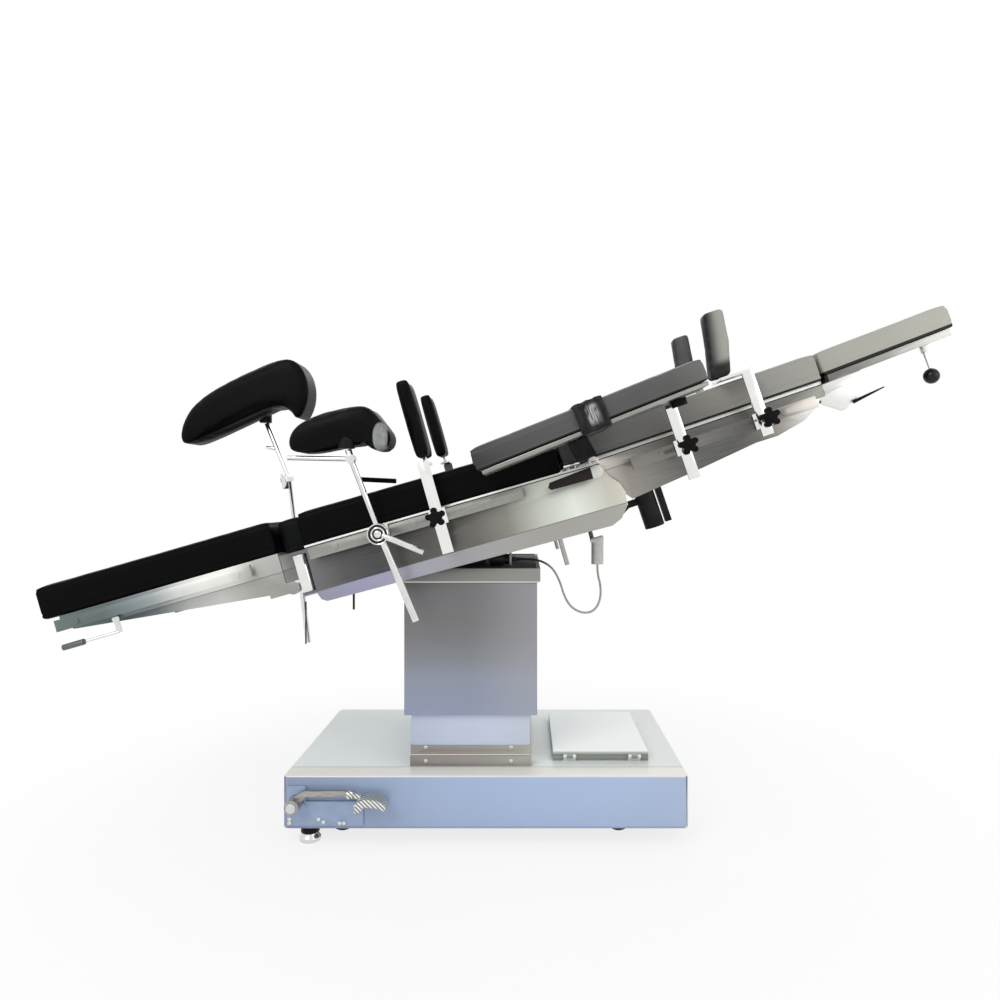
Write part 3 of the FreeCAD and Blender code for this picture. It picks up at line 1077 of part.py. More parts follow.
make_holder("near", NEAR, "holder_near_x", (-0.088, -0.12), 166, 196, (0, 20), [((0, 0), (-126, 39)), ((4, -45), (78, -70))],
            NEAR_PAD, -size("table_half") - 10)
make_holder("far", FAR, "holder_far_x", (0.166, 0.166), 225, 240, (-18.6, 168.8), [((-7, 90), (-38, 104))], FAR_PAD, size("table_half") + 10)
make_cable()
doc.recompute()

for thing in doc.Objects:
    if "Invalid" in thing.State or "Error" in thing.State:
        raise RuntimeError(f"{thing.Name} ({thing.Label}) failed: {thing.State}")
for piece in pieces:
    if piece.Shape.isNull() or not piece.Shape.isValid():
        raise RuntimeError(f"{piece.Label} has no valid shape")

os.makedirs("parts", exist_ok=True)
for piece in pieces:
    piece.Shape.exportStep(f"parts/{piece.Label}.step")
print(len(pieces), "pieces")
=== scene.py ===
import json
import math
import bmesh
import bpy
import numpy
from mathutils import Matrix, Vector

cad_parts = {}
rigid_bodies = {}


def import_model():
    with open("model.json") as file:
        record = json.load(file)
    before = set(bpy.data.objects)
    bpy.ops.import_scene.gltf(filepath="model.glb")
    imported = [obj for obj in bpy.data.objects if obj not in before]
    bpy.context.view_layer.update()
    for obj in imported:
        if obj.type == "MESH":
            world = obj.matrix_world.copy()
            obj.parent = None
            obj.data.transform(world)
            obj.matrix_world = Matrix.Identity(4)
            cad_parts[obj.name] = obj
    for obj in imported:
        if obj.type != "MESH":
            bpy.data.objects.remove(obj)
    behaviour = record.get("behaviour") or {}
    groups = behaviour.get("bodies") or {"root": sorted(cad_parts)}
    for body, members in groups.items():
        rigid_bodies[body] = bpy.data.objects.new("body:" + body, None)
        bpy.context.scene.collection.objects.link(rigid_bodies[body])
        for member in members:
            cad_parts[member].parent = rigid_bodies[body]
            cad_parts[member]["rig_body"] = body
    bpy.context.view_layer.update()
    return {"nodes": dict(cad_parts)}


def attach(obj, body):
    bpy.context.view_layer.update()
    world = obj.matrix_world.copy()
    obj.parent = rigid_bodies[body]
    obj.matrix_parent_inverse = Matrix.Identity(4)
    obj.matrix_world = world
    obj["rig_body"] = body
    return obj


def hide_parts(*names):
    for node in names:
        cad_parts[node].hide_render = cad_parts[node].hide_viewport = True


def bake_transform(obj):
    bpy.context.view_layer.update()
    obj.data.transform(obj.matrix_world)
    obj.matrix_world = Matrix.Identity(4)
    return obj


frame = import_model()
scene = bpy.context.scene

# The studio. The table is seen square from its long side, with the eye a
# little above the column, on a pale floor under plain soft light.

camera = bpy.data.cameras.new("camera")
camera.lens = 26.93
camera.shift_x = -0.025
camera.shift_y = -0.005
eye = bpy.data.objects.new("camera", camera)
eye.location = (0.084, -1.850, 0.753)
eye.rotation_euler = (math.radians(90), 0, 0)
scene.collection.objects.link(eye)
scene.camera = eye
scene.view_settings.view_transform = "Standard"


class Wire:
    """An output of a shader node that can stand in sums."""

    def __init__(self, finish, socket):
        self.finish = finish
        self.socket = socket

    def sum(self, operation, first, second):
        return self.finish.node("ShaderNodeMath", {"operation": operation}, {0: first, 1: second})

    def __add__(self, other):
        return self.sum("ADD", self, other)

    def __sub__(self, other):
        return self.sum("SUBTRACT", self, other)

    def __rsub__(self, other):
        return self.sum("SUBTRACT", other, self)

    def __mul__(self, other):
        return self.sum("MULTIPLY", self, other)

    def __gt__(self, other):
        return self.sum("GREATER_THAN", self, other)

    def __lt__(self, other):
        return self.sum("LESS_THAN", self, other)

    __radd__ = __add__
    __rmul__ = __mul__


class Finish:
    """A surface finish built from shader nodes on one Principled shader."""

    def __init__(self, name, **constants):
        self.material = bpy.data.materials.new(name)
        self.material.use_nodes = True
        self.tree = self.material.node_tree
        self.shader = self.tree.nodes["Principled BSDF"]
        self.set(**constants)
        self.place = self.node("ShaderNodeTexCoord", {}, {}, "Object")

    def feed(self, node, values):
        for key, value in values.items():
            if isinstance(value, Wire):
                self.tree.links.new(value.socket, node.inputs[key])
            else:
                node.inputs[key].default_value = value

    def set(self, **values):
        self.feed(self.shader, {word.replace("_", " "): value for word, value in values.items()})

    def node(self, kind, settings, values, output=0):
        made = self.tree.nodes.new(kind)
        for key, value in settings.items():
            if key == "stops":
                ramp = made.color_ramp
                for place, colour in value[2:]:
                    ramp.elements.new(place)
                for element, (place, colour) in zip(ramp.elements, sorted(value)):
                    element.position = place
                    element.color = colour
            else:
                setattr(made, key, value)
        self.feed(made, values)
        return Wire(self, made.outputs[output])


def paint(code):
    """A colour written as on a screen, as the linear values that the shader takes."""
    parts = [int(code[i:i + 2], 16) / 255 for i in (0, 2, 4)]
    return tuple(v / 12.92 if v <= 0.04045 else ((v + 0.055) / 1.055) ** 2.4 for v in parts) + (1,)


def between(finish, low, high, share):
    """A colour between two others."""
    return finish.node("ShaderNodeMix", {"data_type": "RGBA"}, {0: share, 6: low, 7: high}, 2)


def rising(finish, value, start, end):
    """0 below start and 1 above end, with a soft step between."""
    return finish.node("ShaderNodeMapRange", {"interpolation_type": "SMOOTHSTEP"},
                       {"Value": value, "From Min": start, "From Max": end})


def inside(finish, axes):
    """The place on the piece along a part's own axes, in millimetres: three wires."""
    turned = axes.inverted()
    local = finish.node("ShaderNodeMapping", {}, {"Vector": finish.place, "Location": turned.translation,
                                                  "Rotation": turned.to_euler(), "Scale": turned.to_scale()})
    return [finish.node("ShaderNodeSeparateXYZ", {}, {0: local}, i) for i in range(3)] + [local]


def grain(finish, size, stretch=(1, 1, 1), detail=2.0):
    """Smooth noise whose patches are about size millimetres wide."""
    scaled = finish.node("ShaderNodeMapping", {},
                         {"Vector": finish.place, "Scale": [s * 1000 / size for s in stretch]})
    return finish.node("ShaderNodeTexNoise", {},
                       {"Vector": scaled, "Scale": 1.0, "Detail": detail, "Roughness": 0.55})


def bump(finish, height, strength, depth):
    """Relief of the given depth in millimetres."""
    finish.set(Normal=finish.node("ShaderNodeBump", {},
                                  {"Strength": strength, "Distance": depth / 1000, "Height": height}))


def ramp(finish, value, low, high, *codes):
    """Even tones along a run from low to high."""
    share = finish.node("ShaderNodeMapRange", {}, {"Value": value, "From Min": low, "From Max": high})
    stops = [(i / (len(codes) - 1), paint(code)) for i, code in enumerate(codes)]
    stops = [stops[0], stops[-1]] + stops[1:-1]
    return finish.node("ShaderNodeValToRGB", {"stops": stops}, {0: share})


world = bpy.data.worlds.new("studio")
scene.world = world
world.use_nodes = True
sky = world.node_tree.nodes["Background"]
seen = world.node_tree.nodes.new("ShaderNodeLightPath")
strength = [world.node_tree.nodes.new("ShaderNodeMath") for _ in range(3)]
strength[0].operation = "MAXIMUM"
strength[1].operation = "MAXIMUM"
strength[2].operation = "MULTIPLY_ADD"
world.node_tree.links.new(seen.outputs["Is Camera Ray"], strength[0].inputs[0])
world.node_tree.links.new(seen.outputs["Is Glossy Ray"], strength[0].inputs[1])
world.node_tree.links.new(strength[0].outputs[0], strength[1].inputs[0])
world.node_tree.links.new(seen.outputs["Is Transmission Ray"], strength[1].inputs[1])
world.node_tree.links.new(strength[1].outputs[0], strength[2].inputs[0])
strength[2].inputs[1].default_value = 0.28
strength[2].inputs[2].default_value = 0.72
world.node_tree.links.new(strength[2].outputs[0], sky.inputs["Strength"])
sky.inputs["Color"].default_value = (1, 1, 1, 1)

for name, place, aim, size, power in (("key", (-1.6, -2.6, 2.9), (0, 0, 0.7), 1.8, 42),
                                      ("fill", (2.4, -1.8, 1.5), (0.1, 0, 0.6), 1.6, 12),
                                      ("back", (0.4, 2.6, 2.6), (0, 0, 0.8), 1.8, 16)):
    lamp = bpy.data.lights.new(name, "AREA")
    lamp.size = size
    lamp.energy = power
    light = bpy.data.objects.new(name, lamp)
    light.location = place
    light.rotation_euler = (Vector(aim) - Vector(place)).to_track_quat("-Z", "Y").to_euler()
    scene.collection.objects.link(light)

shape = bmesh.new()
bmesh.ops.create_grid(shape, x_segments=2, y_segments=2, size=40)
mesh = bpy.data.meshes.new("floor")
shape.to_mesh(mesh)
floor = bpy.data.objects.new("floor", mesh)
scene.collection.objects.link(floor)
pale = Finish("pale_floor", Roughness=0.9)
pale.set(Base_Color=between(pale, paint("f4f4f2"), paint("fafaf9"), grain(pale, 300)))
away = pale.node("ShaderNodeVectorMath", {"operation": "LENGTH"}, {0: pale.place}, "Value")
rays = [pale.node("ShaderNodeLightPath", {}, {}, ray) for ray in ("Is Camera Ray", "Is Glossy Ray",
                                                                  "Is Transmission Ray")]
white = pale.node("ShaderNodeEmission", {}, {"Color": (1, 1, 1, 1), "Strength": 1.0})
near = rising(pale, away, 0.6, 1.5) * 0.2 + 0.8
seen = rays[0].sum("MINIMUM", rays[0] + rays[1] + rays[2], 1.0)
mixed = pale.node("ShaderNodeMixShader", {}, {0: seen * near, 1: Wire(pale, pale.shader.outputs[0]), 2: white})
pale.tree.links.new(mixed.socket, pale.tree.nodes["Material Output"].inputs["Surface"])
floor.data.materials.append(pale.material)

# The tilt cable. A limp five millimetre lead that leaves the gland beside the
# column's head, hangs in a loop and goes up into the socket under the table.

ROUTE = ((58.05, 605), (90.05, 605), (120.05, 602), (148.05, 585), (165.05, 553), (174.05, 521), (190.05, 493),
         (218.05, 479), (243.4, 484), (258.4, 509), (259.4, 543), (251.4, 571), (251.4, 593.6))
line = bpy.data.curves.new("cable_line", "CURVE")
line.dimensions = "3D"
spline = line.splines.new("NURBS")
spline.points.add(len(ROUTE) - 1)
for point, (x, z) in zip(spline.points, ROUTE):
    point.co = (x / 1000, -0.12, z / 1000, 1)
spline.order_u = 3
spline.use_endpoint_u = True
line.resolution_u = 16
route = bpy.data.objects.new("cable_line", line)
scene.collection.objects.link(route)
bpy.context.view_layer.update()
centre = bpy.data.meshes.new_from_object(route)
line.bevel_depth = 0.0025
line.bevel_resolution = 5
line.use_fill_caps = True
bpy.context.view_layer.update()
tube = bpy.data.meshes.new_from_object(route.evaluated_get(bpy.context.evaluated_depsgraph_get()))
bpy.data.objects.remove(route)
tube.shade_smooth()
cable = bpy.data.objects.new("cable", tube)
scene.collection.objects.link(cable)
jacket = Finish("cable_jacket", Roughness=0.4)
across_x = jacket.node("ShaderNodeSeparateXYZ", {}, {0: jacket.place}, 0)
# Beyond its black end near the gland the jacket is grey-white, mottled a little.
grey_white_length = between(jacket, paint("8f8d86"), paint("b9b7b0"), grain(jacket, 14))
jacket.set(Base_Color=between(jacket, paint("121212"), grey_white_length, rising(jacket, across_x, 0.118, 0.15)),
           Roughness=0.38 + 0.2 * grain(jacket, 6))
bump(jacket, grain(jacket, 1.5), 0.3, 0.2)
tube.materials.clear()
tube.materials.append(jacket.material)
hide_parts("tilt_cable")
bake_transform(cable)

# The base. A folded steel cover with a pale lacquer stands over a dark tray
# on four casters; its top is a separate lid, seamed behind the front edge.


def block(low, high, ease=0.0, steps=2):
    """A box between two corners with eased edges."""
    shape = bmesh.new()
    low, high = Vector(low), Vector(high)
    bmesh.ops.create_cube(shape, size=1, matrix=Matrix.LocRotScale((low + high) / 2, None, high - low))
    if ease:
        bmesh.ops.bevel(shape, geom=shape.edges[:], offset=ease, offset_type="OFFSET", segments=steps,
                        profile=0.5,
                        material=-1, affect="EDGES", clamp_overlap=True)
    return shape


def rod(start, end, radius, tip=None, ease=0.6, sides=24):
    """A round rod, or with a tip radius a tapered one, its rims eased."""
    shape = bmesh.new()
    start, end = Vector(start), Vector(end)
    turn = (end - start).to_track_quat("Z", "Y")
    bmesh.ops.create_cone(shape, cap_ends=True, segments=sides, radius1=radius,
                          radius2=radius if tip is None else tip,
                          depth=(end - start).length, matrix=Matrix.LocRotScale((start + end) / 2, turn, None))
    rims = [edge for edge in shape.edges if any(len(face.verts) > 4 for face in edge.link_faces)]
    bmesh.ops.bevel(shape, geom=rims, offset=ease, offset_type="OFFSET", segments=2, profile=0.5, material=-1,
                    affect="EDGES", clamp_overlap=True)
    return shape


def turned(profile, place=None, steps=40):
    """A lathe-turned shape from points of radius and height, spun round Z."""
    shape = bmesh.new()
    points = [shape.verts.new((radius, 0, height)) for radius, height in profile]
    edges = [shape.edges.new(pair) for pair in zip(points, points[1:])]
    bmesh.ops.spin(shape, geom=points + edges, cent=(0, 0, 0), axis=(0, 0, 1), angle=2 * math.pi, steps=steps,
                   use_merge=True)
    bmesh.ops.remove_doubles(shape, verts=shape.verts, dist=1e-4)
    if place is not None:
        bmesh.ops.transform(shape, matrix=place, verts=shape.verts)
    return shape


def joined(*shapes):
    """Several shapes as one."""
    for other in shapes[1:]:
        part = bpy.data.meshes.new("part")
        other.to_mesh(part)
        shapes[0].from_mesh(part)
        bpy.data.meshes.remove(part)
        other.free()
    return shapes[0]


def made(name, shape, axes, finish, body, slot_name, nodes=(), smooth=38, turn_out=True):
    """The shape as a piece of the table, on its body and with its finish."""
    if axes is not None:
        bmesh.ops.transform(shape, matrix=axes, verts=shape.verts)
    if turn_out:
        bmesh.ops.recalc_face_normals(shape, faces=shape.faces)
    mesh = bpy.data.meshes.new(name)
    shape.to_mesh(mesh)
    shape.free()
    mesh.shade_smooth()
    mesh.set_sharp_from_angle(angle=math.radians(smooth))
    mesh.materials.append(finish.material)
    piece = bpy.data.objects.new(name, mesh)
    scene.collection.objects.link(piece)
    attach(piece, body)
    if nodes:
        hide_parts(*nodes)
    return piece


def local_box(node, axes):
    """The lowest and highest corners of a CAD part along a section's own axes."""
    turned = axes.inverted()
    corners = numpy.array([turned @ vertex.co for vertex in frame["nodes"][node].data.vertices])
    return corners.min(0), corners.max(0)


def eased(node, finish, slot_name, edge=0.6, angle=32):
    """A machined part as the CAD gives it, with its sharp edges broken."""
    source = frame["nodes"][node]
    shape = bmesh.new()
    shape.from_mesh(source.data)
    bmesh.ops.remove_doubles(shape, verts=shape.verts, dist=2e-6)
    bmesh.ops.dissolve_limit(shape, angle_limit=math.radians(0.5), verts=shape.verts[:], edges=shape.edges[:])
    sharp = [e for e in shape.edges if len(e.link_faces) == 2 and e.calc_face_angle(0) > math.radians(angle)]
    bmesh.ops.bevel(shape, geom=sharp, offset=edge / 1000, offset_type="OFFSET", segments=2, profile=0.5,
                    material=-1,
                    affect="EDGES", clamp_overlap=True)
    return made(node + "_shell", shape, None, finish, source["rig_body"], slot_name, (node,), turn_out=False)


MILLIMETRES = Matrix.Scale(0.001, 4)
lacquer = Finish("base_lacquer", Metallic=0.0, Coat_Roughness=0.12)
x, y, z, local = inside(lacquer, MILLIMETRES)
# Painted light: the top is painted lighter than the front, its left part lifted to cancel the table's shadow, and
# the tones along the front and the top are painted reflection and light. The front turns darker below about 45 mm.
front = ramp(lacquer, x, -430, 430, "8d98b4", "97a9c6", "a2b4d4", "a6bada", "a9bcdc", "a8b9d6")
top = ramp(lacquer, x, -430, 430, "f0f7f6", "f1f7f6", "dfe9f2", "eef5f2", "eff6f3", "e2e6e5")
strip = between(lacquer, paint("eae7e0"), paint("f3f1ec"), grain(lacquer, 60))
seam = (y > -197.5) * (y < -195.5)
lid = between(lacquer, between(lacquer, strip, top, y > -196.5), paint("70706c"), seam)
coat_and_painted_light = between(lacquer, front, lid, rising(lacquer, z, 148.6, 150.4))
coat_and_painted_light = between(lacquer, coat_and_painted_light, paint("7f86a0"), (1 - rising(lacquer, z, 40, 47)) * 0.6)
lacquer.set(Base_Color=between(lacquer, coat_and_painted_light, paint("f0f2f2"),
                               rising(lacquer, grain(lacquer, 5, detail=4), 0.66, 0.8) * 0.12),
            Roughness=0.3 + 0.18 * grain(lacquer, 45), Coat_Weight=0.3)
bump(lacquer, grain(lacquer, 2.2), 0.12, 0.12)
eased("base_cover", lacquer, "painted_base", 1.6)

iron = Finish("dark_iron", Metallic=0.35)
iron.set(Base_Color=between(iron, paint("3c3d3f"), paint("585a5c"), grain(iron, 22, detail=4)),
         Roughness=0.45 + 0.2 * grain(iron, 9))
bump(iron, grain(iron, 1.2), 0.25, 0.15)
eased("base_chassis", iron, "structure", 0.8)

plate = Finish("bright_plate", Metallic=1.0)
scratch = grain(plate, 1.1, (0.06, 1, 1), 3)
plate.set(Base_Color=between(plate, paint("cfcfcc"), paint("ebebe9"), grain(plate, 18, detail=3)),
          Roughness=0.14 + 0.16 * scratch)
bump(plate, scratch, 0.12, 0.05)
tyre = Finish("grey_tyre")
for corner in ("foot_near", "foot_far", "head_near", "head_far"):
    eased(f"caster_fork_{corner}", plate, "structure", 0.5)
x, y, z, local = inside(tyre, MILLIMETRES)
tyre.set(Base_Color=between(tyre, paint("2c2d2f"), paint("4a4b4c"), grain(tyre, 16, detail=4)),
         Roughness=0.55 + 0.2 * grain(tyre, 6))
bump(tyre, grain(tyre, 0.9), 0.3, 0.2)
for corner in ("foot_near", "foot_far", "head_near", "head_far"):
    eased(f"caster_wheel_{corner}", tyre, "wheel", 1.2)

# The hatch. A white lacquered lid, its rim sides painted with shade, lies in a
# frame on the base and swings up on two small hinges at its front.

white_lid = Finish("hatch_lacquer", Coat_Roughness=0.15)
x, y, z, local = inside(white_lid, MILLIMETRES)
face = between(white_lid, paint("f8fefb"), paint("fdfffe"), grain(white_lid, 90))
# Painted shade: the lid's rim sides are darker than its face, darkest at their foot.
painted_shade_rim = between(white_lid, paint("8b8f8a"), paint("c3c7c2"), rising(white_lid, z, 165, 171))
white_lid.set(Base_Color=between(white_lid, painted_shade_rim, face, rising(white_lid, z, 171.5, 173.2)),
              Roughness=0.34 + 0.15 * grain(white_lid, 30), Coat_Weight=0.2)
bump(white_lid, grain(white_lid, 2), 0.12, 0.12)
eased("hatch_lid", white_lid, "painted_base", 1.0)
dull = Finish("dull_steel", Metallic=0.7)
streak = grain(dull, 2.0, (0.08, 1, 1), 3)
x, y, z, local = inside(dull, MILLIMETRES)
from_hinge = y.sum("ABSOLUTE", y.sum("ABSOLUTE", x - 258, 0.0) - 73, 0.0)
hinge_plate = (1 - rising(dull, from_hinge, 13, 15)) * (y < -150)
dull.set(Base_Color=between(dull, between(dull, paint("82837f"), paint("a4a5a0"), streak), paint("e4e4e0"),
                            hinge_plate),
         Roughness=0.3 + 0.2 * streak)
bump(dull, streak, 0.15, 0.06)
eased("hatch_frame", dull, "painted_base", 0.6)

# The brake. A cast pedal on a bolted plate turns down and lowers a chromed
# foot with a black collar against the floor.

bracket = Finish("bracket_lacquer", Metallic=0.35)
x, y, z, local = inside(bracket, MILLIMETRES)
boss = 1 - rising(bracket, y, -254.6, -254.2)
bracket.set(Base_Color=between(bracket,
                               between(bracket, paint("8899b6"), paint("a3b4d0"), grain(bracket, 30, detail=3)),
                               between(bracket, paint("b9bcc0"), paint("e8e9ea"), grain(bracket, 6)), boss),
            Roughness=0.24 + 0.2 * grain(bracket, 9))
eased("brake_bracket", bracket, "structure", 0.6)


def screws(name, places, face, radius, axes, finish, body, slot_name):
    """Round-headed screws with a round recess, set on a side face; face is the outward Y of the near or far side.
    """
    heads = []
    for across, height in places:
        turn = Matrix.Rotation(math.radians(90 if face < 0 else -90), 4, "X")
        head = turned([(0, -0.4), (radius, -0.4), (radius, 0.5), (radius * 0.86, 1.2), (radius * 0.5, 1.5),
                       (radius * 0.42, 0.6),
                       (0, 0.5)], Matrix.Translation((across, face, height)) @ turn, 20)
        heads.append(head)
    return made(name, joined(*heads), axes, finish, body, slot_name)


screws("bracket_screws", [(-418, 54), (-418, 62), (-356, 62), (-346, 56), (-311, 54), (-302, 54), (-278, 90)],
       -256.2, 4.2,
       MILLIMETRES, plate, "base", "chrome_parts")
ribbed = Finish("pedal_casting", Metallic=0.8)
x, y, z, local = inside(ribbed, MILLIMETRES)
rib = ribbed.node("ShaderNodeTexWave", {"bands_direction": "DIAGONAL"}, {"Vector": local, "Scale": 0.07})
on_tread = rising(ribbed, x, -294, -292) * (1 - rising(ribbed, y, -263, -262))
ribbed.set(Base_Color=between(ribbed,
                              between(ribbed, paint("7f7b78"), paint("c4c2c0"),
                                      grain(ribbed, 11, (1, 1, 3), 4)),
                              between(ribbed, paint("e9e9e6"), paint("6a6a64"),
                                      rising(ribbed, rib, 0.55, 0.85)), on_tread),
           Roughness=0.28 + 0.2 * grain(ribbed, 4))
bump(ribbed, on_tread * rib, 0.6, 0.8)
eased("brake_pedal", ribbed, "chrome_parts", 0.8)
foot = Finish("brake_foot_chrome", Metallic=0.9)
x, y, z, local = inside(foot, MILLIMETRES)
collar = rising(foot, z, 18.5, 19.5) * (1 - rising(foot, z, 36.5, 37.5))
foot.set(Base_Color=between(foot, paint("dcdcda"), paint("1c1c1c"), collar),
         Roughness=0.15 + 0.25 * collar + 0.08 * grain(foot, 5))
eased("brake_foot", foot, "chrome_parts", 0.6)

# The column. Brushed steel boxes slide in each other: a lower shroud with a
# screwed skirt, the wide sleeve that hides the lift, and the dark collar.

sheet_steel = Finish("column_steel", Metallic=0.55)
x, y, z, local = inside(sheet_steel, MILLIMETRES)
# Painted light: the sleeve is lighter and bluer towards the bottom as a painted reflection of the base, darker
# towards the top as painted shade under the table, and lighter to the right.
painted_light_tone = ramp(sheet_steel, z, 267, 560, "969eb8", "939bb0", "9097a6", "86888f", "7c7c80", "757576", "727275",
            "727271")
brush = grain(sheet_steel, 1.6, (1, 1, 0.03), 3)
painted_light_tone = between(sheet_steel, painted_light_tone, paint("b2b3b8"), rising(sheet_steel, x, -60, 115) * 0.42)
sheet_steel.set(Base_Color=between(sheet_steel, painted_light_tone, paint("9a9a9c"),
                                   rising(sheet_steel, brush, 0.5, 0.8) * 0.2),
                Roughness=0.3 + 0.22 * brush)
bump(sheet_steel, brush, 0.12, 0.05)
eased("column_sleeve", sheet_steel, "steel_panel", 1.5)
lilac = Finish("lower_shroud_lacquer", Metallic=0.25)
x, y, z, local = inside(lilac, MILLIMETRES)
brush = grain(lilac, 1.8, (1, 1, 0.04), 3)
# Painted light: the shroud's tones along its width, darkest at its left end.
lilac.set(Base_Color=between(lilac, ramp(lilac, x, -168, 96, "b0bbd0", "bcc7de", "c2cce2", "bfc8d8"),
                             paint("d2d8e4"),
                             brush * 0.4), Roughness=0.3 + 0.2 * brush)
bump(lilac, brush, 0.1, 0.05)
eased("lower_shroud", lilac, "steel_panel", 1.0)
skirting = Finish("skirt_strip", Metallic=0.4)
x, y, z, local = inside(skirting, MILLIMETRES)
brush = grain(skirting, 1.6, (0.05, 0.05, 1), 3)
# Painted light: the strip grows lighter towards the right.
strip = between(skirting, ramp(skirting, x, -172, 100, "857e79", "8b8580", "96928a", "a5a69c"),
                paint("b8b6b0"), brush * 0.3)
joint = (z > 176.2) * (z < 177.8)
strip = between(skirting, strip, paint("e6e4de"), joint)
skirting.set(Base_Color=between(skirting, strip, paint("55524e"), (z > 175) * (z < 176.2)),
             Roughness=0.35 + 0.2 * brush)
eased("shroud_skirt", skirting, "steel_panel", 0.6)
screws("skirt_screws", [(-136, 164), (53, 164), (-136, 194), (53, 194)], -192.4, 4.4, MILLIMETRES, plate,
       "base", "chrome_parts")
capping = Finish("collar_steel", Metallic=0.4)
x, y, z, local = inside(capping, MILLIMETRES)
brush = grain(capping, 1.6, (0.05, 0.05, 1), 3)
low_edge = local_box("column_collar", MILLIMETRES)[0][2]
# Painted light: the collar grows lighter towards the right, and a painted highlight runs along its bottom edge.
band = between(capping, ramp(capping, x, -190, 120, "6f6f6e", "7b7b79", "858682", "8d8e8a", "91928d"),
               paint("a4a49f"), brush * 0.25)
band = between(capping, paint("dcdcd8"), band, rising(capping, z, low_edge + 2.2, low_edge + 3.4))
capping.set(Base_Color=band, Roughness=0.34 + 0.16 * brush)
bump(capping, brush, 0.08, 0.05)
eased("column_collar", capping, "steel_panel", 1.5)
eased("lift_cylinder", iron, "structure", 0.8)
eased("lift_ram", plate, "structure", 0.8)
eased("column_head", iron, "structure", 0.8)
gland = Finish("gland_plastic")
x, y, z, local = inside(gland, MILLIMETRES)
ring = rising(gland, x, 47.8, 48.2) * (1 - rising(gland, x, 52.8, 53.2))
gland.set(Base_Color=between(gland, between(gland, paint("121213"), paint("262627"), grain(gland, 5)),
                             paint("e4e4e2"), ring),
          Roughness=0.4 + 0.2 * grain(gland, 3))
eased("cable_gland", gland, "black_plastic", 0.6)
made("gland_relief",
     turned([(0, 0), (5.2, 0), (5.2, 3), (3.6, 5), (3.9, 8), (3.3, 9.5), (3.6, 12.5), (3.0, 14), (3.2, 17),
                             (2.65, 18.5), (2.65, 20), (0, 20)],
                            Matrix.Translation((58, -120, 605)) @ Matrix.Rotation(math.radians(90), 4, "Y"),
                            24),
     MILLIMETRES, gland, "column", "black_plastic")

# The cradle. A dark welded frame on the column's pivot carries the tabletop
# and holds the tilt cable's socket under a chromed bracket.

TABLE = Matrix.Translation((-0.036, 0, 0.665)) @ Matrix.Rotation(math.radians(-16), 4, "Y") @ MILLIMETRES
BACK = TABLE @ Matrix.Translation((300, 0, 80)) @ Matrix.Rotation(math.radians(-2.7), 4, "Y")
HEAD = BACK @ Matrix.Translation((530, 0, -18)) @ Matrix.Rotation(math.radians(-2.2), 4, "Y")
ARM = BACK @ Matrix.Translation((187, -363, 62)) @ Matrix.Rotation(math.radians(-3), 4, "Y")
socket_grey = Finish("cradle_and_socket", Metallic=0.45)
x, y, z, local = inside(socket_grey, TABLE)
in_socket = (x > 245) * (z < -87)
bare = between(socket_grey, paint("4a4b4d"), paint("6a6b6c"), grain(socket_grey, 24, detail=4))
socket_grey.set(Base_Color=between(socket_grey, bare,
                                   between(socket_grey, paint("b4b3ae"), paint("cfcec9"),
                                           grain(socket_grey, 12)), in_socket),
                Roughness=0.35 + 0.2 * grain(socket_grey, 8))
eased("tilt_cradle", socket_grey, "structure", 0.6)

# The seat section. Folded side panels of brushed steel join under the seat,
# and rails are screwed along them on spacers for the clamps of the fittings.


def panel_steel(name, axes, low, high, tones, fold, under, brow):
    """Brushed sheet with painted reflection and light in the tones along its length, its folded lower band, and
    painted shade along the fold.
    """
    steel = Finish(name, Metallic=0.6)
    x, y, z, local = inside(steel, axes)
    brush = steel.node("ShaderNodeTexNoise", {}, {"Vector": steel.node("ShaderNodeMapping", {}, {
        "Vector": local, "Scale": (0.012, 0.5, 0.5)}), "Scale": 1.0, "Detail": 3.0})
    sheen = rising(steel, brush, 0.35, 0.75)
    body = between(steel, ramp(steel, x, low, high, *tones), paint("b9b9b4"), sheen * 0.07)
    band = between(steel, ramp(steel, x, low, high, *under), paint("c9c9d2"), sheen * 0.1)
    # Painted shade: a dark line along the fold.
    crease = (z > fold - 1.2) * (z < fold + 0.8)
    skin = between(steel, body, band, z < fold)
    skin = between(steel, skin, paint("181818"), (z > brow - 5.4) * (z < brow - 3.4))
    skin = between(steel, skin, paint("f0f0ec"), z > brow - 3.4)
    steel.set(Base_Color=between(steel, skin, paint("4f4f4e"), crease * 0.55), Roughness=0.32 + 0.1 * brush)
    bump(steel, brush, 0.05, 0.05)
    return steel


# Painted reflection and light: the seat panels' tones, with a painted highlight towards their right end.
seat_steel = panel_steel("seat_panels", TABLE, -345, 308,
                         ("6e6e70", "525253", "434446", "575652", "5f5e5a", "6b6964", "8e8b84",
                                                          "cdd1c6", "eef4ea", "cfcdc0"), -24,
                         ("9393a4", "9c9cb8", "a9a9b4", "a3a2a6", "a7a5a1", "a8a6a0", "aaa9a2"), 76.2)
eased("seat_frame", seat_steel, "steel_panel", 0.8)
rail_steel = Finish("rail_steel", Metallic=0.75)
x, y, z, local = inside(rail_steel, TABLE)
brush = rail_steel.node("ShaderNodeTexNoise", {}, {"Vector": rail_steel.node("ShaderNodeMapping", {}, {
    "Vector": local, "Scale": (0.02, 0.6, 0.6)}), "Scale": 1.0, "Detail": 3.0})
plain = between(rail_steel, paint("868681"), paint("a0a09b"), grain(rail_steel, 70))
rail_steel.set(Base_Color=between(rail_steel, plain, paint("d9d9d5"), rising(rail_steel, brush, 0.45, 0.8) * 0.25),
               Roughness=0.28 + 0.1 * brush)
bump(rail_steel, brush, 0.05, 0.05)
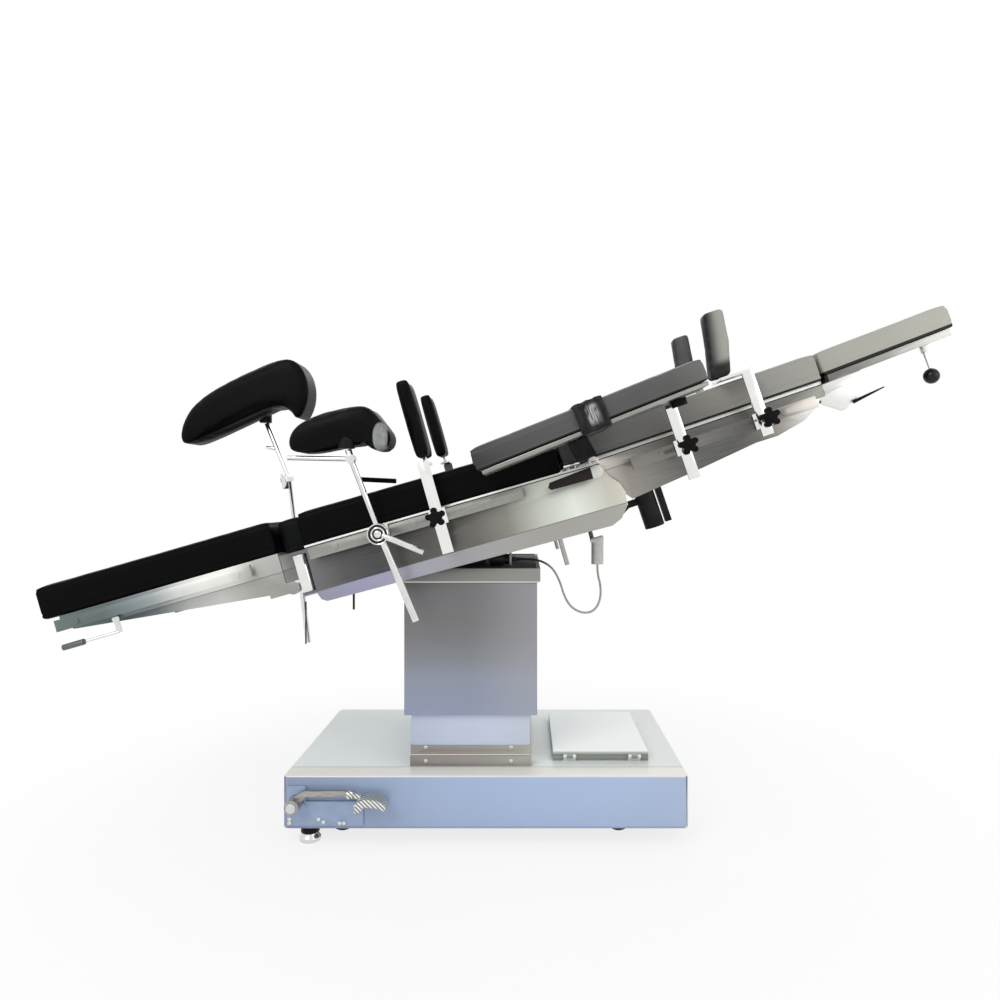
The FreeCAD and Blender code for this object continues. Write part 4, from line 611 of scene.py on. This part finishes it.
eased("seat_rails", rail_steel, "steel_panel", 0.9)
chrome = Finish("chrome", Metallic=1.0)
smear = grain(chrome, 26, detail=3)
chrome.set(Base_Color=between(chrome, paint("dadad7"), paint("efefed"), smear), Roughness=0.08 + 0.07 * smear)
bump(chrome, grain(chrome, 2.5), 0.03, 0.05)
eased("bridge_carrier", chrome, "steel_panel", 0.6)
moulded = Finish("black_moulding", Specular_IOR_Level=0.1)
moulded.set(Base_Color=between(moulded, paint("0c0c0d"), paint("242424"), grain(moulded, 14, detail=4)),
            Roughness=0.3 + 0.25 * grain(moulded, 5))
bump(moulded, grain(moulded, 0.8), 0.25, 0.12)
crank = Finish("crank_grip", Specular_IOR_Level=0.2)
x, y, z, local = inside(crank, TABLE)
on_hub = rising(crank, x, 285, 286)
crank.set(Base_Color=between(crank, between(crank, paint("1a1413"), paint("2b2422"), grain(crank, 10)),
                             paint("d6d6d2"), on_hub),
          Roughness=0.32 + 0.2 * grain(crank, 4), Metallic=on_hub)
eased("bridge_crank", crank, "black_plastic", 1.4)
made("seat_low_pins", joined(rod((-387, -242, 433), (-387, -242, 524), 1.6, ease=0.3, sides=12),
                             rod((-284, -242, 507), (-284, -242, 560), 2.4, ease=0.4, sides=12)),
     MILLIMETRES, moulded, "seat", "black_plastic")

for side, face in (("near", -272), ("far", 272)):
    screws(f"seat_rail_screws_{side}", [(-275, 57.5), (-103, 57.5), (68, 57.5)], face, 6, TABLE, chrome,
           "seat", "chrome_parts")

# The cushions. Moulded foam in a welded vinyl cover, crowned a little, with a
# seam round each side; they lie on the deck plates and lift off for washing.


def filled(shape, voxel, swell, floor_at=None, pressure=4.0):
    """The shape, in millimetres, blown up a little as a stuffed cover, and smooth."""
    bmesh.ops.recalc_face_normals(shape, faces=shape.faces)
    bmesh.ops.transform(shape, matrix=MILLIMETRES, verts=shape.verts)
    mesh = bpy.data.meshes.new("filling")
    shape.to_mesh(mesh)
    shape.free()
    pad = bpy.data.objects.new("filling", mesh)
    scene.collection.objects.link(pad)

    def settle():
        bpy.context.view_layer.update()
        done = bpy.data.meshes.new_from_object(pad.evaluated_get(bpy.context.evaluated_depsgraph_get()))
        pad.modifiers.clear()
        pad.data = done
        return done

    remesh = pad.modifiers.new("cover", "REMESH")
    remesh.mode = "VOXEL"
    remesh.voxel_size = voxel / 1000
    settle()
    before = numpy.array([vertex.co for vertex in pad.data.vertices])
    cloth = pad.modifiers.new("filling", "CLOTH")
    cloth.settings.use_pressure = True
    cloth.settings.uniform_pressure_force = pressure
    cloth.settings.effector_weights.gravity = 0
    cloth.settings.quality = 4
    cloth.point_cache.frame_start = 1
    cloth.point_cache.frame_end = 20
    for step in range(1, 21):
        scene.frame_set(step)
    settle()
    scene.frame_set(1)
    after = numpy.array([vertex.co for vertex in pad.data.vertices])
    moved = after - before
    reach = numpy.linalg.norm(moved, axis=1, keepdims=True) + 1e-9
    cap = swell / 1000
    after = before + moved / reach * cap * numpy.tanh(reach / cap)
    if floor_at is not None:
        after[:, 2] = numpy.maximum(after[:, 2], floor_at / 1000)
    pad.data.vertices.foreach_set("co", after.astype(numpy.float32).ravel())
    smooth = pad.modifiers.new("smooth", "SUBSURF")
    smooth.levels = smooth.render_levels = 1
    settle()
    ready = bmesh.new()
    ready.from_mesh(pad.data)
    bmesh.ops.transform(ready, matrix=Matrix.Scale(1000, 4), verts=ready.verts)
    bpy.data.objects.remove(pad)
    return ready


def fitted(shape, low, high):
    """The shape stretched to fill a room from low to high."""
    places = numpy.array([vertex.co for vertex in shape.verts])
    start, end = Vector(places.min(0)), Vector(places.max(0))
    low, high = Vector(low), Vector(high)
    bmesh.ops.translate(shape, vec=-start, verts=shape.verts)
    bmesh.ops.scale(shape, vec=[(b - a) / (d - c) for a, b, c, d in zip(low, high, start, end)],
                    verts=shape.verts)
    bmesh.ops.translate(shape, vec=low, verts=shape.verts)
    return shape


def squared(shape, low, high, reach=9.0, power=4.0):
    """The shape with its round edges drawn out towards the corners of its room."""
    low, high = numpy.array(low), numpy.array(high)
    middle, flat = (low + high) / 2, numpy.maximum((high - low) / 2 - reach, 0)
    away = numpy.array([vertex.co for vertex in shape.verts]) - middle
    past = numpy.maximum(numpy.abs(away) - flat, 0)
    round_length = numpy.linalg.norm(past, axis=1, keepdims=True)
    square_length = (past ** power).sum(1, keepdims=True) ** (1 / power)
    grown = numpy.minimum(past * round_length / numpy.maximum(square_length, 1e-6), reach)
    for vertex, place in zip(shape.verts,
                             middle + numpy.where(past > 0, numpy.sign(away) * (flat + grown), away)):
        vertex.co = place
    return shape


def seamed(shape, height, depth=1.6, width=2.4):
    """A welded seam round the sides at one height."""
    shape.normal_update()
    for vertex in shape.verts:
        if abs(vertex.normal.z) < 0.8:
            away = (vertex.co.z - height) / width
            vertex.co -= vertex.normal * depth * math.exp(-away * away)
    return shape


def leather(name, dark, light, rough=0.42, axes=None, low=0, high=1, tones=(), shine=0.35, shadow_line_top=None):
    """Vinyl with fine pores, soft creases and a little colour change; tones of painted light and shade run along a
    section, and a painted shadow line darkens its foot.
    """
    skin = Finish(name, Specular_IOR_Level=shine)
    crease = grain(skin, 46, detail=4)
    cover = between(skin, paint(dark), paint(light), crease)
    if tones:
        x, y, z, local = inside(skin, axes)
        cover = between(skin, ramp(skin, x, low, high, *tones), cover, 0.25)
        # Painted shadow: the cover is near black below the given height, a shadow line along the cushion's foot.
        cover = between(skin, paint("060606"), cover, rising(skin, z, shadow_line_top - 0.8, shadow_line_top + 0.8))
    pores = skin.node("ShaderNodeTexVoronoi", {"feature": "F1"}, {"Vector": skin.place, "Scale": 620.0},
                      "Distance")
    cover = between(skin, cover, paint("000000"), rising(skin, pores, 0.35, 0.8) * 0.07)
    skin.set(Base_Color=cover, Roughness=rough + 0.14 * grain(skin, 12))
    bump(skin, pores * 0.12 + crease * 1.1, 0.3, 1.0)
    return skin


def cushion(name, node, axes, finish, body, slot_name, low=None, high=None, voxel=6.0, swell=3.0,
            round_edge=5.0, nodes=None):
    """A slab cushion in the room of its CAD solid, flat underneath, crowned on top."""
    if low is None:
        low, high = local_box(node, axes)
    low = Vector(low) + Vector((0.4, 0.4, 0.4))
    high = Vector(high) - Vector((0.4, 0.4, 0))
    start = block(low + Vector((2, 2, 0)), high - Vector((2, 2, 2.5)), round_edge, 3)
    pad = squared(fitted(filled(start, voxel, swell, low.z), low, high), low, high)
    height = high.z - low.z
    seamed(pad, high.z - 9, 1.1)
    seamed(pad, low.z + min(12, height * 0.2), 1.1)
    piece = made(name, pad, axes, finish, body, slot_name, (node,) if nodes is None else nodes, 180)
    return piece


black_vinyl = leather("black_vinyl", "020203", "08080a", 0.42, shine=0.06)
gap_vinyl = leather("gap_vinyl", "050606", "141717", 0.45, shine=0.08)
cushion("seat_pad", "seat_cushion", TABLE, black_vinyl, "seat", "black_leather", (-344, -250, 77),
        (230, 250, 150))
cushion("seat_gap_pad", "seat_cushion", TABLE, gap_vinyl, "seat", "black_leather", (-401, -220, 70),
        (-345, 220, 145), nodes=())
cushion("kidney_cushion", "kidney_pad", TABLE, leather("kidney_vinyl", "26282a", "383a3b", 0.42), "bridge",
        "black_leather")

# The back section. Its frame hinges on the seat and holds the actuator; the
# grey cushion runs under the arm board up to the head section.

# Painted reflection and light: the back panels' tones, palest at the seat end.
back_steel = panel_steel("back_panels", BACK, 0, 530,
                         ("e6dfd4", "b5b1aa", "97938e", "77736d", "6b6a66", "6a6965", "66655f",
                                                      "6c6b66", "787872", "8a8984"), -26,
                         ("e9e2d7", "9c9790", "86827c", "6c6b68", "605f5c", "5b5b57", "6b6964", "a09c94",
                          "d8d7d0", "dad9d2"), 4.4)
eased("back_frame", back_steel, "steel_panel", 0.8)
back_rail = Finish("back_rail_steel", Metallic=0.7)
x, y, z, local = inside(back_rail, BACK)
brush = grain(back_rail, 2.0, (0.06, 1, 1), 3)
# Painted light and shade: the rail's tones along its length, lightest at its upper end.
tones = ramp(back_rail, x, 100, 520, "85817b", "77736e", "75726e", "646260", "504e4d", "77736e", "b5b0a8", "c9c7c0")
back_rail.set(Base_Color=between(back_rail, tones, paint("d0d0cb"), brush * 0.12), Roughness=0.28 + 0.1 * brush)
bump(back_rail, brush, 0.05, 0.05)
eased("back_rails", back_rail, "steel_panel", 0.9)
motor = Finish("actuator_black", Specular_IOR_Level=0.15)
x, y, z, local = inside(motor, BACK)
motor.set(Base_Color=between(motor,
                             between(motor, paint("0f1010"), paint("262726"), grain(motor, 18, detail=4)),
                             paint("0a0a0a"),
                             rising(motor, z, -150, -180) * 0.6), Roughness=0.38 + 0.2 * grain(motor, 6))
bump(motor, grain(motor, 1.0), 0.2, 0.12)
eased("back_actuator", motor, "black_plastic", 1.2)
# Painted shadow and light: the cushion is darkest at its seat end, under the arm board's shadow, and grows lighter
# along its length.
back_vinyl = leather("back_vinyl", "77756f", "8c8a84", 0.45, BACK, 0, 525,
                     ("3a3a3a", "5f5f5f", "6c6c6b", "7b7975", "84817b", "8a8882", "93918b", "9a9993", "a1a09b",
                      "a8a79e"), shadow_line_top=12.5)
cushion("back_pad", "back_cushion", BACK, back_vinyl, "back", "grey_leather")

for side, face in (("near", -272), ("far", 272)):
    screws(f"back_rail_screws_{side}", [(140, -31), (412, -31)], face, 6, BACK, chrome, "back", "chrome_parts")

# The head section. A plate with its own cushion, hinged on the back and held
# by a lever whose ball hangs under the plate.

head_steel = Finish("head_plate", Metallic=0.6)
x, y, z, local = inside(head_steel, HEAD)
brush = head_steel.node("ShaderNodeTexNoise", {}, {"Vector": head_steel.node("ShaderNodeMapping", {}, {
    "Vector": local, "Scale": (0.02, 0.5, 0.5)}), "Scale": 1.0, "Detail": 3.0})
# Painted light: the plate's tones lighten towards its far end.
edge = between(head_steel,
               ramp(head_steel, x, 0, 285, "6e6a66", "7d7b77", "8a8884", "8f8f8a", "9c9c97", "b2b1ac",
                    "bbbbb6"),
               paint("e2e2de"), rising(head_steel, brush, 0.45, 0.8) * 0.35)
edge = between(head_steel, paint("e9e9e7"), edge, rising(head_steel, z, 15.5, 17.5))
# Painted shade: a black strip at the hinge end stands for the shaded gap to the back panel.
head_steel.set(Base_Color=between(head_steel, paint("1c1c1c"), edge, rising(head_steel, x, 4, 6)),
               Roughness=0.25 + 0.2 * brush)
bump(head_steel, brush, 0.1, 0.05)
eased("head_frame", head_steel, "steel_panel", 0.8)
# Painted light: the cushion's tones lighten towards its far end.
head_vinyl = leather("head_vinyl", "a3a299", "b2b1a8", 0.45, HEAD, 0, 297,
                     ("9e9d94", "a8a79e", "a9a89f", "adaca3", "b3b2a8", "b6b5ac"),
                     shadow_line_top=41)
cushion("head_pad", "head_cushion", HEAD, head_vinyl, "head", "light_leather")
knob = Finish("lever_and_ball", Specular_IOR_Level=0.3)
x, y, z, local = inside(knob, HEAD)
on_ball = 1 - rising(knob, z, -35, -33)
knob.set(Base_Color=between(knob, between(knob, paint("d0d0cd"), paint("ededeb"), grain(knob, 8)),
                            between(knob, paint("060606"), paint("141414"), grain(knob, 9)), on_ball),
         Metallic=1 - on_ball, Roughness=0.16 + 0.1 * grain(knob, 5))
eased("head_lever", knob, "chrome_parts", 0.6)
made("head_release_lever", rod((71, -172, -44), (148, -172, -37), 4.2, 1.4), HEAD, moulded, "head",
     "black_plastic")
made("head_block_pin", turned([(0, 0), (3.4, 0), (3.4, 1.2), (2.0, 1.5), (0, 0.9)],
                              Matrix.Translation((14, -170.2, 2)) @ Matrix.Rotation(math.radians(90), 4, "X"),
                              20),
     HEAD, moulded, "head", "black_plastic")

# The leg sections. Two separate frames, each on a hinge block that lets it
# fold down and swing out, with a catch lever under its outer end.

# Painted reflection and light: the leg panels' tones, with a painted highlight in their middle.
leg_steel = panel_steel("leg_panels", TABLE, -892, -404,
                        ("6c7877", "62706f", "64716f", "7c878a", "9ba3a4", "d6d8d5", "eaeae6",
                                                         "e6e6e1", "a8a8a4", "a5a5a1"), 36,
                        ("8f9a98", "66747a", "425055", "666f72", "b0b2b1", "c4c4c1", "a6a6a1", "9a9a95"), 88.4)
lever_steel = Finish("catch_lever", Metallic=0.9)
x, y, z, local = inside(lever_steel, TABLE)
grip_end = local_box("leg_near_lever", TABLE)[0][0] + 52
on_grip = 1 - rising(lever_steel, x, grip_end - 1, grip_end + 1)
knurl = grain(lever_steel, 2.4, detail=3)
lever_steel.set(Base_Color=between(lever_steel, paint("dededb"),
                                   between(lever_steel, paint("34393a"), paint("8b9192"), knurl), on_grip),
                Roughness=0.12 + 0.3 * on_grip + 0.1 * knurl)
for side in ("near", "far"):
    eased(f"leg_{side}_frame", leg_steel, "steel_panel", 0.8)
    screws(f"leg_rail_screws_{side}", [(-844, 57.5), (-491, 57.5)], -272 if side == "near" else 272, 6, TABLE,
           chrome, f"leg_{side}",
           "chrome_parts")
    eased(f"leg_{side}_bracket", chrome, "structure", 0.7)
    eased(f"leg_{side}_lever", lever_steel, "chrome_parts", 0.8)
    cushion(f"leg_{side}_pad", f"leg_{side}_cushion", TABLE, black_vinyl, f"leg_{side}", "black_leather")

# The body supports. A flat chromed bar clamps on the rail with a star knob
# and is bent over the cushion, with an upholstered plate standing on its end.

bar_chrome = Finish("bar_and_knob", Specular_IOR_Level=0.08)
x, y, z, local = inside(bar_chrome, MILLIMETRES)
far_out = y.sum("ABSOLUTE", y, 0.0)
on_knob = far_out > 286.5
smear = grain(bar_chrome, 30, detail=3)
bar_chrome.set(Base_Color=between(bar_chrome, between(bar_chrome, paint("e0e0dd"), paint("f2f2f0"), smear),
                                  between(bar_chrome, paint("050505"), paint("121212"), grain(bar_chrome, 6)),
                                  on_knob),
               Metallic=1 - on_knob, Roughness=0.1 + 0.06 * smear + 0.22 * on_knob)


def stuffed(name, node, axes, finish, body, slot_name, voxel=4.5, swell=4.0, shrink=2.5):
    """A stuffed plate in the room of its CAD solid."""
    shape = bmesh.new()
    shape.from_mesh(frame["nodes"][node].data)
    bmesh.ops.remove_doubles(shape, verts=shape.verts, dist=2e-6)
    bmesh.ops.transform(shape, matrix=axes.inverted(), verts=shape.verts)
    low, high = local_box(node, axes)
    middle = Vector((low + high) / 2)
    span = high - low
    bmesh.ops.translate(shape, vec=-middle, verts=shape.verts)
    bmesh.ops.scale(shape, vec=[(s - 2 * shrink) / s for s in span], verts=shape.verts)
    bmesh.ops.translate(shape, vec=middle, verts=shape.verts)
    piece = made(name, fitted(filled(shape, voxel, swell), low, high), axes, finish, body, slot_name, (node,),
                 180)
    return piece


support_vinyl = leather("support_vinyl", "020203", "0a0a0b", 0.4, shine=0.07)
# Painted light and shade: each back support pad is painted grey where light falls across it, and the near pad
# darkens at its foot as painted shade.
shaded = leather("back_support_vinyl_painted_light", "50514e", "757671", 0.42)
x, y, z, local = inside(shaded, BACK)
along = x - 316 - (z - 82) * 0.197
near_side = ramp(shaded, along, -24, 24, "050505", "0a0a0a", "5b5c59", "868782", "97988f", "9b9c95", "9c9d96")
near_side = between(shaded, near_side, paint("0c0c0c"), 1 - rising(shaded, z, 104, 124))
far_side = between(shaded,
                   ramp(shaded, x - 358 - (z - 116) * 0.197, -24, 24, "141414", "545454", "606060", "565656",
                        "2a2a2a"),
                   paint("0c0c0c"), grain(shaded, 20, detail=4) * 0.5)
shaded.set(Base_Color=between(shaded, near_side, far_side, y > 0))
for section, axes, skin in (("seat", TABLE, support_vinyl), ("back", BACK, shaded)):
    for side in ("near", "far"):
        eased(f"support_{section}_{side}_bar", bar_chrome, "chrome_parts", 0.8)
        stuffed(f"support_{section}_{side}_cushion", f"support_{section}_{side}_pad", axes, skin,
                f"support_pad_{section}_{side}", "black_leather")

# The arm board. A padded board on a thin steel tray turns on a bar clamped to
# the back rail, with a glossy crinkled strap round it, its highlight painted.

eased("arm_bar", bar_chrome, "chrome_parts", 0.8)
made("arm_tray", joined(block((-413, -55, 1.5), (54, 55, 9.4), 1.2), rod((0, 0, 1.0), (0, 0, 4), 14)),
            ARM, rail_steel,
            "arm", "steel_panel")
# Painted shade: the pad darkens to black at its left end, and its painted shadow line lies along its foot.
arm_vinyl = leather("arm_vinyl", "545454", "606060", 0.42, ARM, -425, 60,
                    ("0b0c0c", "3c3e3d", "4b4b4b", "4f4f4f", "505050", "4e4e4e", "555554", "6e6e6c"), shadow_line_top=14.5)
cushion("arm_pad", "arm_board", ARM, arm_vinyl, "arm", "arm_leather", (-425, -61, 9.8), (60, 61, 57), voxel=5.0)
glossy = Finish("strap_gloss", Specular_IOR_Level=0.25)
x, y, z, local = inside(glossy, ARM)
fold = glossy.node("ShaderNodeTexNoise", {}, {"Vector": glossy.node("ShaderNodeMapping", {}, {
    "Vector": local, "Scale": (0.1, 0.05, 0.03)}), "Scale": 1.0, "Detail": 3.0, "Distortion": 1.5})
# Painted highlight: a pale streak on the strap's front face, broken up by the folds.
across = rising(glossy, x, -190, -182) * (1 - rising(glossy, x, -172, -158))
upward = rising(glossy, z, 6, 22) * (1 - rising(glossy, z, 44, 54))
painted_highlight = across * upward
sheen = between(glossy, paint("060606"), paint("202020"), rising(glossy, fold, 0.35, 0.7))
glossy.set(Base_Color=between(glossy, sheen, paint("aeaeac"), painted_highlight * rising(glossy, fold, 0.3, 0.6)),
           Roughness=0.2 + 0.2 * fold)
bump(glossy, fold, 0.6, 4.0)


def strap(left, right, low, high, half, thick):
    """A flat band round the board, its faces rippled."""
    outside = block((left, -half - thick, low - thick), (right, half + thick, high + thick))
    ends = [face for face in outside.faces if abs(face.normal.x) > 0.9]
    bmesh.ops.delete(outside, geom=ends, context="FACES_ONLY")
    bmesh.ops.subdivide_edges(outside, edges=outside.edges[:], cuts=9, use_grid_fill=True)
    bmesh.ops.smooth_vert(outside, verts=outside.verts, factor=0.5, use_axis_x=False, use_axis_y=True,
                          use_axis_z=True)
    for vertex in outside.verts:
        wave = math.sin(vertex.co.x * 0.31 + vertex.co.z * 0.11) * math.sin(vertex.co.z * 0.17 + vertex.co.y * 0.05)
        vertex.co += vertex.normal * wave * 1.3
    bmesh.ops.recalc_face_normals(outside, faces=outside.faces)
    bmesh.ops.solidify(outside, geom=outside.faces[:], thickness=thick * 0.7)
    return outside


made("arm_strap", strap(-208, -148, 1.0, 57.5, 62, 3.0), ARM, glossy, "arm", "arm_leather", smooth=180)
tail = block((-238, -14, -44), (-196, -10.5, 0.4))
bmesh.ops.subdivide_edges(tail, edges=tail.edges[:], cuts=7, use_grid_fill=True)
for vertex in tail.verts:
    drop = -vertex.co.z
    vertex.co.y += 5 * math.sin(drop * 0.07) + 1.2 * math.sin(vertex.co.x * 0.3)
    vertex.co.x += drop * 0.12
made("arm_strap_tail", tail, ARM, moulded, "arm", "arm_leather", smooth=180)

# The leg holders. A chromed post is gripped by a ring clamp on the rail and
# carries a gutter-shaped leather saddle that turns on its top.

post = Finish("holder_chrome", Metallic=1.0)
smear = grain(post, 22, detail=3)
x, y, z, local = inside(post, TABLE)
black_lever = (x > -178) * (z > 148) * (z < 182) * (y < 0)
post.set(Base_Color=between(post, between(post, paint("c9c9c6"), paint("efefed"), smear), paint("0a0a0a"),
                            black_lever),
         Roughness=0.08 + 0.07 * smear + 0.25 * black_lever)
for side in ("near", "far"):
    eased(f"holder_{side}_post", post, "chrome_parts", 0.6)
# Painted shade: a thin dark disc under the clamp's rings stands for the shade in its recesses.
recess_shade = Finish("recess_painted_shade", Metallic=0.6)
recess_shade.set(Base_Color=between(recess_shade, paint("0d0d0d"), paint("3a3a3a"), grain(recess_shade, 5)),
              Roughness=0.3 + 0.2 * grain(recess_shade, 3))
for side, x, face, turn in (("near", -174, -310.8, 90), ("far", -533, 310.8, -90)):
    place = Matrix.Translation((x, face, 57.5)) @ Matrix.Rotation(math.radians(turn), 4, "X")
    made(f"holder_{side}_recess", turned([(0, 0.1), (20.5, 0.1), (20.5, 0.7), (0, 0.7)], place), TABLE,
         recess_shade, f"holder_{side}",
         "chrome_parts")
    made(f"holder_{side}_rings",
         joined(turned([(19.2, 0), (22, 0), (22, 2.4), (21, 3.2), (19.8, 2.8), (19.2, 1.4), (19.2, 0)], place),
                                        turned([(11.6, 0), (14.4, 0), (14.4, 2.0), (13, 2.8), (11.6, 2.0),
                                                (11.6, 0)], place),
                                        turned([(0, 0), (7.4, 0), (7.4, 3.0), (5.6, 4.4), (2.4, 4.6),
                                                (2.0, 3.2), (0, 3.0)], place)),
         TABLE, post, f"holder_{side}", "chrome_parts")
made("holder_far_clamp",
     joined(rod((-512, 290.8, 256), (-505, 290.8, 300), 11.5, ease=1.2),
            rod((-494, 290.8, 283), (-520, 290.8, 283), 7, ease=1)),
     TABLE, post, "holder_far", "chrome_parts")
NEAR_OUTLINE = [(-118, 10), (-98, 50), (26, 80), (52, 74), (66, 45), (92, 24), (90, -2), (70, -16), (50, -7),
                (40, 8), (-16, 0), (-56, -10), (-98, -18), (-114, -12)]
FAR_OUTLINE = [(-206, -14), (-164, 65), (56, 160), (98, 158), (132, 120), (143, 60), (124, 4), (106, -2),
               (92, 24), (64, 32), (24, 22), (-24, 0), (-190, -74), (-208, -60)]


def saddle(name, node, outline, place, clamp_y, finish, body):
    """A stuffed saddle cut to its side outline, with a round clamp under it."""
    shape = bmesh.new()
    corners = [shape.verts.new((x, -52, z)) for x, z in outline]
    sheet = shape.faces.new(corners)
    bmesh.ops.subdivide_edges(shape, edges=sheet.edges[:], cuts=5)
    for turn in range(14):
        bmesh.ops.smooth_vert(shape, verts=shape.verts, factor=0.5, use_axis_x=True, use_axis_y=False,
                              use_axis_z=True)
    grown = bmesh.ops.extrude_face_region(shape, geom=shape.faces[:])
    bmesh.ops.translate(shape, vec=(0, 104, 0),
                        verts=[v for v in grown["geom"] if isinstance(v, bmesh.types.BMVert)])
    bmesh.ops.recalc_face_normals(shape, faces=shape.faces)
    rims = [edge for edge in shape.edges if abs(edge.verts[0].co.y - edge.verts[1].co.y) < 1]
    bmesh.ops.bevel(shape, geom=rims, offset=19, offset_type="OFFSET", segments=5, profile=0.5, material=-1,
                    affect="EDGES", clamp_overlap=True)
    xs, zs = [x for x, z in outline], [z for x, z in outline]
    full = fitted(filled(shape, 5.0, 6.0), (min(xs), -55, min(zs)), (max(xs), 55, max(zs)))
    piece = made(name, full, place, finish, body, "black_leather", (node,), 180)
    made(name + "_clamp", joined(rod((0, clamp_y, -9), (0, clamp_y, 15), 17, ease=1.2, sides=32)), place,
         moulded, body,
         "black_plastic")
    return piece


saddle_vinyl = leather("saddle_vinyl", "020203", "0a0a0b", 0.36, shine=0.08)
saddle_vinyl_lit_end = leather("saddle_vinyl_painted_light_end", "020203", "0a0a0b", 0.36, shine=0.08)
LEVEL = Matrix.Rotation(math.radians(16), 4, "Y")
x, y, z, local = inside(saddle_vinyl_lit_end, TABLE @ Matrix.Translation((-188.6, -260, 255.5)) @ LEVEL)
# Painted light: a grey oval at the near saddle's end stands for light on the inside of its curled far side.
oval = (x - 73) * (x - 73) * 0.0042 + (z - 13) * (z - 13) * 0.00095
painted_light_end = (1 - rising(saddle_vinyl_lit_end, oval, 0.75, 1.1)) * (1 - rising(saddle_vinyl_lit_end, y, -30, -10))
saddle_vinyl_lit_end.set(Base_Color=between(saddle_vinyl_lit_end,
                                  between(saddle_vinyl_lit_end, paint("030304"), paint("0b0b0c"), grain(saddle_vinyl_lit_end, 40)),
                                  between(saddle_vinyl_lit_end, paint("6b6d6c"), paint("a9abaa"),
                                          grain(saddle_vinyl_lit_end, 9, detail=4)), painted_light_end))
saddle("holder_near_saddle", "holder_near_pad", NEAR_OUTLINE,
       TABLE @ Matrix.Translation((-188.6, -260, 255.5)) @ LEVEL, -30.8,
       saddle_vinyl_lit_end, "holder_saddle_near")
saddle("holder_far_saddle", "holder_far_pad", FAR_OUTLINE,
       TABLE @ Matrix.Translation((-514.25, 260, 463.3)) @ LEVEL, 30.8,
       saddle_vinyl, "holder_saddle_far")
